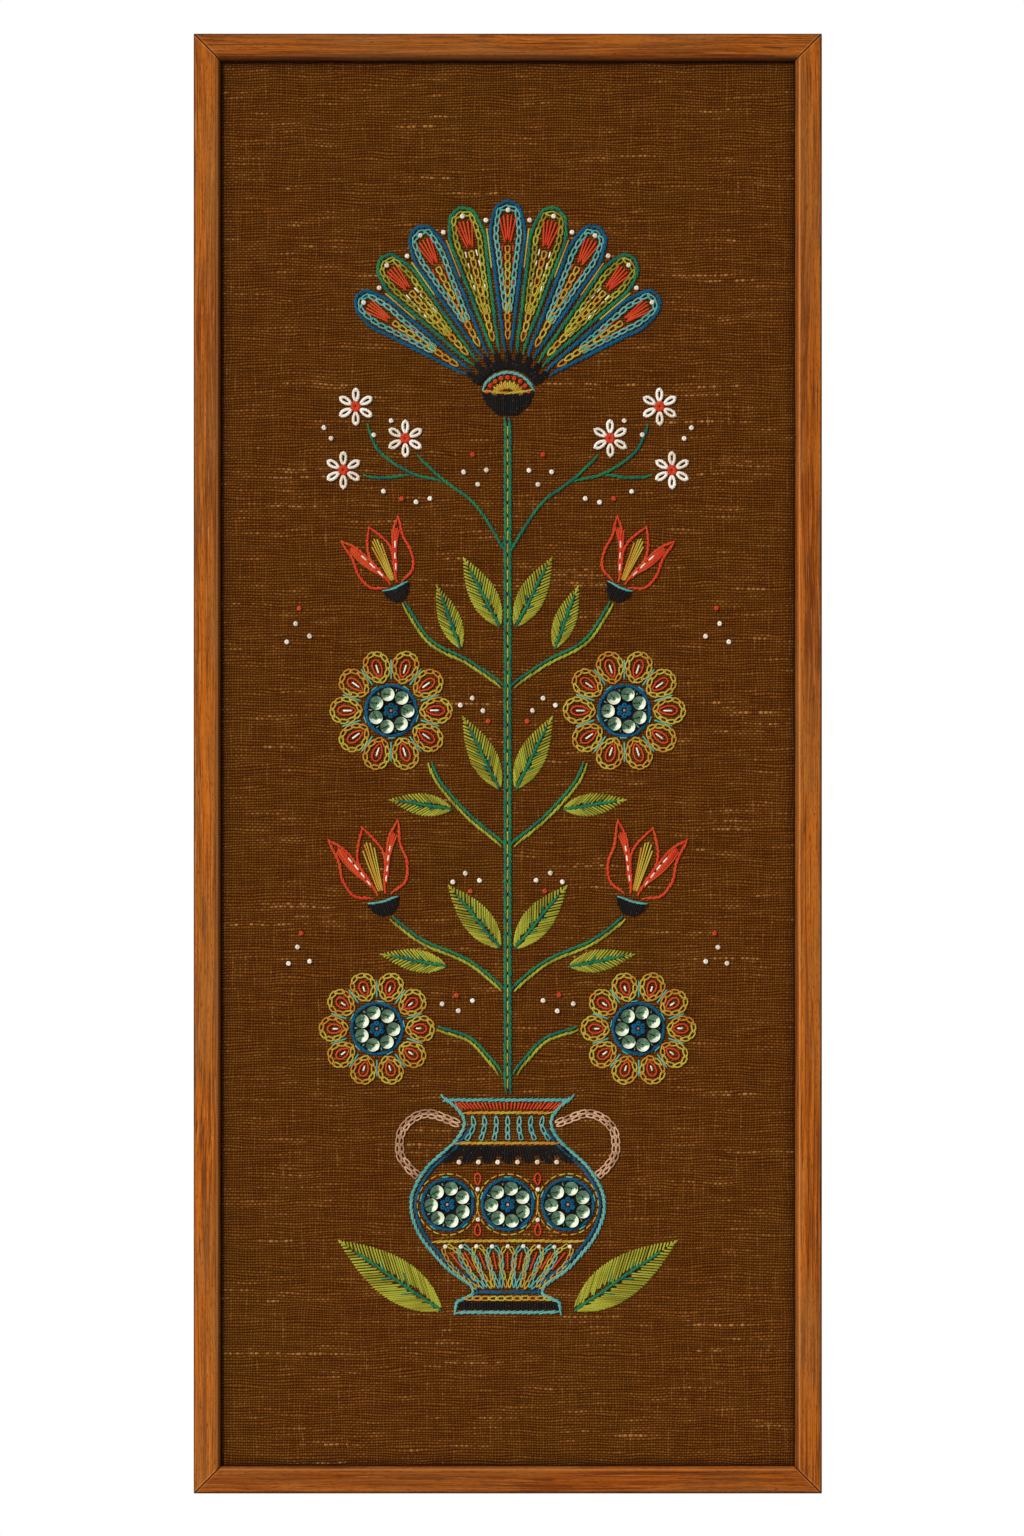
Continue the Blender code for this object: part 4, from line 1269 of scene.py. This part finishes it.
def build_fan(scene):
    spot = Spot(0, FAN_BASE)
    names = ("blue", "green", "turquoise", "olive", "gold", "red", "white", "black")
    wools = {c: Wool(f"fan_{c}_stitches", c, ["fan"] if c == "blue" else ()) for c in names}
    half = FAN_HALF_ANGLE / FAN_LOBES
    for k in range(FAN_LOBES):
        centre = FAN_HALF_ANGLE * (1 - (2 * k + 1) / FAN_LOBES)
        reach = float(fan_reach(centre))
        outer, second, bead = [("blue", "turquoise", "red"), ("green", "olive", "white")][k % 2]
        wools[outer].add(spot(rope(lobe_line(centre, 1.7, 27), slant=0.75)))
        wools[second].add(spot(chain(lobe_line(centre, 4.9, 50), link=4.8, width=2.5)), 0.5)
        spine = Line([polar(34, centre), polar(reach - 27, centre)])
        wools["gold"].add(spot(chain(spine, link=5.0, width=2.9)), 0.52)
        spread = np.linspace(-1, 1, 5) * (half - 7.9 / (reach - 10))
        foot = polar(reach - 22 - 60 * np.abs(spread), centre + spread * 0.35)
        top = polar(reach - 9.5 - 14 * np.abs(spread), centre + spread)
        wools["red"].add(spot(straight(foot, top)), 0.55)
        wools["white"].add(spot(knots(polar(reach - 6.6, centre), 1.5)))
        beads = np.linspace(64, reach - 30, 4)
        for hand in (-1, 1):
            beside = polar(beads, centre + hand * 3.1 / beads)
            wools[bead].add(spot(straight(beside, beside + polar(3.4, centre), inner=1)), 0.45)
        spread = np.linspace(-0.8, 0.8, 5)
        rays = centre + spread * half
        wools["black"].add(spot(straight(polar(17.5, rays), polar(28 - 9 * spread**2, rays))), 0.6)
        if k:
            notch = centre + half
            edge = float(fan_reach(notch))
            wools["gold"].add(spot(straight([polar(edge - 24, notch)], [polar(edge - 1.5, notch)])), 0.5)
            wools["white"].add(spot(knots(polar(edge + 3.2, notch), 1.5)))
    wools["turquoise"].add(spot(rope(Line(polar(15.4, np.linspace(-1.27, 1.27, 15))), slant=0.6)))
    rays = np.linspace(-1.22, 1.22, 21)
    ends = polar(9.8 + 0.9 * (np.arange(21) % 2), rays)
    wools["gold"].add(spot(straight(polar(6.2, rays), ends, inner=1)), 0.55)
    wools["red"].add(spot(knots(polar(12.6, np.linspace(-1.2, 1.2, 9)), 1.45)))
    for wool in wools.values():
        wool.finish()
    u, v, width, height = FAN_CALYX
    spot = Spot(u, v)
    calyx = Wool("fan_calyx_satin", "black", ["fan_calyx"])
    calyx.add(spot(calyx_satin(width, height))).finish()
    lip = rope(Line([(-14, 14.2), (0, 12.9), (14, 14.2)]), length=4.8, slant=0.45)
    Wool("fan_calyx_edging", "gold").add(spot(lip + (0, 0, 0.4)), 0.5).finish()


def vase_half(v, inset=0.0):
    """Half the vase's width at a height, less the inset."""
    profile = Line(VASE_SIDE).points
    order = np.argsort(profile[:, 1])
    return np.interp(v, profile[order, 1], profile[order, 0]) - inset


def vase_band(v, inset, sag=0.0):
    """A line across the vase at a height, dipping by the sag in its middle."""
    reach = float(vase_half(v, inset))
    x = np.linspace(-reach, reach, 9)
    return Line(np.stack([x, v - sag * (1 - (x / reach) ** 2)], -1))


def vase_uprights(spacing, low, high, inset=3.0):
    """Upright stitches between two heights, spread with the vase's sides."""
    t = np.linspace(-1, 1, int(2 * vase_half(low, inset) / spacing))
    ends = (np.stack([t * vase_half(v, inset), np.full(len(t), v)], -1) for v in (low, high))
    return straight(*ends)


def vase_sides(wools):
    """The vase's outline with an inner line beside it, and the two chains of each handle."""
    profile = Line(VASE_SIDE)
    for side_name, side in SIDES.items():
        spot = Spot(side=side)
        wools["turquoise"].add(spot(rope(profile, 1.5, slant=0.75)))
        wools["blue"].add(spot(rope(profile, 4.1, 18, profile.length - 22, slant=0.55)), 0.5)
        node = f"vase_handle_{side_name}"
        grip = Wool(f"{node}_chain", "taupe", [node])
        for offset in (1.2, -1.2):
            grip.add(spot(chain(Line(HANDLE), offset, link=4.6, width=2.2)), 0.45)
        grip.finish()


def vase_neck(wools):
    """The rim, its red teeth, the chains that run down the neck and the black scallops on the shoulder."""
    wools["turquoise"].add(rope(vase_band(-190.4, 0.5), slant=0.7))
    wools["red"].add(vase_uprights(1.75, -195.6, -191.8), 0.52)
    wools["gold"].add(rope(vase_band(-197.6, 2.2), slant=0.6), 0.5)
    v = np.array([-199.5, -204, -208.5, -213])
    for x in np.linspace(-0.8, 0.8, 7):
        drop = Line(np.stack([x * vase_half(v, 2.0), v], -1))
        wools["turquoise"].add(chain(drop, link=4.5, width=2.3), 0.46)
    wools["gold"].add(rope(vase_band(-214.8, 2.2), slant=0.6), 0.5)
    shoulder, scallops = -216.6, 7
    t = np.linspace(-0.86, 0.86, 7)
    drop = 9.5 * np.sqrt(1 - (t * 0.98) ** 2)
    top_half, low_half = vase_half(shoulder, 2.5), vase_half(-223, 4)
    for k in range(scallops):
        x = (2 * k + 1) / scallops - 1 + t / scallops
        top = np.stack([x * top_half, np.full(len(t), shoulder)], -1)
        foot = np.stack([x * (top_half + (low_half - top_half) * drop / 6.4), shoulder - drop], -1)
        wools["black"].add(straight(top, foot), 0.62)
        if k:
            wools["white"].add(knots([[(2 * k / scallops - 1) * vase_half(-224, 4.5), -225.5]], 1.5))


def vase_rosettes(scene, wools):
    """Three rosettes in a row, each in a dashed ring, with loops and knots between them."""
    rosettes, places = Rosettes("vase_rosette"), []
    for u in (-ROSETTE_SPACING, 0, ROSETTE_SPACING):
        places.append(rosettes.add(u, ROSETTE_ROW))
        wools["gold"].add(Spot(u, ROSETTE_ROW)(dashes(circle(17.3), length=3.4, gap=1.6)), 0.42)
    rosettes.finish()
    make_sequins(scene, "vase_sequins", np.concatenate(places))
    for u in (-ROSETTE_SPACING / 2, ROSETTE_SPACING / 2):
        spot = Spot(u, ROSETTE_ROW)
        for hand in (-1, 1):
            up = np.array([[0, hand * 11.0]])
            wools["red"].add(spot(loops(up, up + (0, hand * 6.5), 3.6)), 0.5)
            wools["white"].add(spot(knots(up - (0, hand * 2.4), 1.4)))


def vase_foot(wools):
    """The gadroons that narrow towards the foot, with the bands above and below them."""
    wools["gold"].add(rope(vase_band(-270.6, 5.6, -0.5), slant=0.6), 0.5)
    gadroons = 9
    t = np.linspace(0, 1, 9)[:, None]
    swell = 0.9 + 3.1 * np.sin(math.pi * t**1.6 * 0.93)
    for k in range(gadroons):
        place = (2 * k + 1) / gadroons - 1
        low = np.array([place * vase_half(-296.5, 3.0), -296.8])
        run = np.array([place * vase_half(-273.5, 7.5), -273.5]) - low
        ahead = run / np.linalg.norm(run)
        left = np.array([-ahead[1], ahead[0]])
        for hand in (-1, 1):
            edge = Line(low + run * t + left * hand * swell)
            wools["turquoise" if k % 2 else "gold"].add(chain(edge, link=4.6, width=2.0), 0.42)
        wools["red"].add(straight([low + run * 0.45], [low + run * 0.86]), 0.5)
        wools["white"].add(knots([low + run * 0.97 + ahead], 1.35))
    wools["blue"].add(rope(vase_band(-299.2, 1.8), slant=0.6), 0.5)
    wools["gold"].add(chain(vase_band(-302.6, 3.2), link=4.4, width=2.4), 0.46)
    wools["black"].add(vase_uprights(1.45, -308.8, -304.8, 3.2), 0.6)
    wools["turquoise"].add(rope(vase_band(-310.6, 0.8), slant=0.7))


def build_vase(scene):
    names = ("turquoise", "blue", "gold", "red", "white", "black")
    wools = {c: Wool(f"vase_{c}_stitches", c, ["vase"] if c == "turquoise" else ()) for c in names}
    vase_sides(wools)
    vase_neck(wools)
    vase_rosettes(scene, wools)
    vase_foot(wools)
    for wool in wools.values():
        wool.finish()


def build_scattered_knots(scene):
    """White and red knots on the open cloth beside the sprigs and the stem."""
    for colour, places in (("white", WHITE_KNOTS), ("red", RED_KNOTS)):
        wool = Wool(f"scattered_{colour}_knots", colour)
        for side in SIDES.values():
            wool.add(Spot(side=side)(knots(places, 1.5)))
        wool.finish()


# The stage

def add_sun(name, energy, spread, tip, turn):
    """A sun light of that spread, tipped about X and then turned about Z, in degrees."""
    sun = add_object(name, bpy.data.lights.new(name, "SUN"))
    sun.data.energy, sun.data.angle = energy, math.radians(spread)
    sun.rotation_euler = (math.radians(tip), 0, math.radians(turn))


def build_world(scene, fill):
    """A world that lights with the fill's grey, and that the camera sees as white."""
    world = scene.world = bpy.data.worlds.new("studio")
    world.use_nodes = True
    tree = world.node_tree
    tree.nodes.clear()
    eye = tree.nodes.new("ShaderNodeLightPath").outputs["Is Camera Ray"]
    lit, seen = (
        add_node(tree, "ShaderNodeBackground", {"Color": (1, 1, 1), "Strength": strength}).outputs[0]
        for strength in (fill, 1.0)
    )
    both = add_node(tree, "ShaderNodeMixShader", {0: eye, 1: lit, 2: seen})
    add_node(tree, "ShaderNodeOutputWorld", {0: both.outputs[0]})


def build_stage(scene):
    stage = scene.embroidery_stage
    camera = scene.camera = add_object("camera", bpy.data.cameras.new("camera"))
    camera.data.lens = stage.lens
    camera.location = (stage.right, CAD_BOX[0][1] - stage.range, CENTRE_Z - stage.down)
    camera.rotation_euler = (math.pi / 2, 0, 0)
    add_sun("key", stage.key, spread=7, tip=58.5, turn=-42)
    add_sun("back_light", stage.back, spread=30, tip=-50, turn=30)
    build_world(scene, stage.fill)
    spokes = np.arange(FLOOR_SPOKES) * 2 * math.pi / FLOOR_SPOKES
    turn, out = np.meshgrid(spokes, np.linspace(0.001, stage.floor, FLOOR_RINGS), indexing="ij")
    ground = np.full(out.shape, CAD_BOX[0][2] - stage.drop)
    points = np.stack([out * np.cos(turn), out * np.sin(turn), ground], -1)
    quads = grid_quads(FLOOR_SPOKES, FLOOR_RINGS, close_rows=True)[:, ::-1]
    middle = (np.arange(FLOOR_SPOKES) * FLOOR_RINGS)[None]
    mesh = make_mesh("floor", points.reshape(-1, 3), [quads, middle])
    values = {"Base": tuple(stage.pale), "Grain": tuple(stage.speck)}
    values |= {"Scale": 6.0, "Spread": 0.25, "Smoothness": 0.3}
    mesh.materials.append(finish("pale_floor", "speckle", values, 0.2))
    floor = add_object("floor", mesh)
    scene.view_settings.view_transform = "Standard"


# Operators, panel and registration

class EMBROIDERY_OT_rails(bpy.types.Operator):
    """Make the four rails of the wooden frame."""

    bl_idname = "embroidery.rails"
    bl_label = "Frame rails"

    def execute(self, context):
        build_rails(context.scene)
        return {"FINISHED"}


class EMBROIDERY_OT_cloth(bpy.types.Operator):
    """Make the stretched ground cloth."""

    bl_idname = "embroidery.cloth"
    bl_label = "Ground cloth"

    def execute(self, context):
        build_cloth(context.scene)
        return {"FINISHED"}


class EMBROIDERY_OT_board(bpy.types.Operator):
    """Make the board behind the cloth."""

    bl_idname = "embroidery.board"
    bl_label = "Mount board"

    def execute(self, context):
        build_board(context.scene)
        return {"FINISHED"}


class EMBROIDERY_OT_stems(bpy.types.Operator):
    """Stitch the stem, its branches and its sprigs."""

    bl_idname = "embroidery.stems"
    bl_label = "Stems"

    def execute(self, context):
        build_stems(context.scene)
        return {"FINISHED"}


class EMBROIDERY_OT_leaves(bpy.types.Operator):
    """Stitch the leaves."""

    bl_idname = "embroidery.leaves"
    bl_label = "Leaves"

    def execute(self, context):
        build_leaves(context.scene)
        return {"FINISHED"}


class EMBROIDERY_OT_round_flowers(bpy.types.Operator):
    """Stitch the round flowers and sew on their sequins."""

    bl_idname = "embroidery.round_flowers"
    bl_label = "Round flowers"

    def execute(self, context):
        build_round_flowers(context.scene)
        return {"FINISHED"}


class EMBROIDERY_OT_tulips(bpy.types.Operator):
    """Stitch the tulips."""

    bl_idname = "embroidery.tulips"
    bl_label = "Tulips"

    def execute(self, context):
        build_tulips(context.scene)
        return {"FINISHED"}


class EMBROIDERY_OT_stars(bpy.types.Operator):
    """Stitch the small stars and the scattered knots."""

    bl_idname = "embroidery.stars"
    bl_label = "Stars and knots"

    def execute(self, context):
        build_stars(context.scene)
        build_scattered_knots(context.scene)
        return {"FINISHED"}


class EMBROIDERY_OT_fan(bpy.types.Operator):
    """Stitch the fan at the top."""

    bl_idname = "embroidery.fan"
    bl_label = "Fan"

    def execute(self, context):
        build_fan(context.scene)
        return {"FINISHED"}


class EMBROIDERY_OT_vase(bpy.types.Operator):
    """Stitch the vase and its handles."""

    bl_idname = "embroidery.vase"
    bl_label = "Vase"

    def execute(self, context):
        build_vase(context.scene)
        return {"FINISHED"}


class EMBROIDERY_OT_stage(bpy.types.Operator):
    """Set up the camera, the light and the floor."""

    bl_idname = "embroidery.stage"
    bl_label = "Stage"

    def execute(self, context):
        build_stage(context.scene)
        return {"FINISHED"}


OPERATORS = (
    EMBROIDERY_OT_stage,
    EMBROIDERY_OT_rails,
    EMBROIDERY_OT_cloth,
    EMBROIDERY_OT_board,
    EMBROIDERY_OT_stems,
    EMBROIDERY_OT_leaves,
    EMBROIDERY_OT_round_flowers,
    EMBROIDERY_OT_tulips,
    EMBROIDERY_OT_stars,
    EMBROIDERY_OT_fan,
    EMBROIDERY_OT_vase,
)


class EMBROIDERY_PT_panel(bpy.types.Panel):
    """Settings and operators of the framed embroidery."""

    bl_idname = "EMBROIDERY_PT_panel"
    bl_label = "Framed Embroidery"
    bl_space_type = "VIEW_3D"
    bl_region_type = "UI"
    bl_category = "Embroidery"

    def draw(self, context):
        for operator in OPERATORS:
            self.layout.operator(operator.bl_idname)
        for name in SETTINGS:
            box = self.layout.box()
            settings = getattr(context.scene, name)
            for label in settings.__annotations__:
                box.prop(settings, label)


CLASSES = (*SETTINGS.values(), *OPERATORS, EMBROIDERY_PT_panel)


def register():
    for kind in CLASSES:
        bpy.utils.register_class(kind)
    for name, settings in SETTINGS.items():
        setattr(bpy.types.Scene, name, bpy.props.PointerProperty(type=settings))


def unregister():
    for name in SETTINGS:
        delattr(bpy.types.Scene, name)
    for kind in reversed(CLASSES):
        bpy.utils.unregister_class(kind)


def main():
    register()
    for operator in OPERATORS:
        group, name = operator.bl_idname.split(".")
        getattr(getattr(bpy.ops, group), name)()


if __name__ == "__main__":
    main()
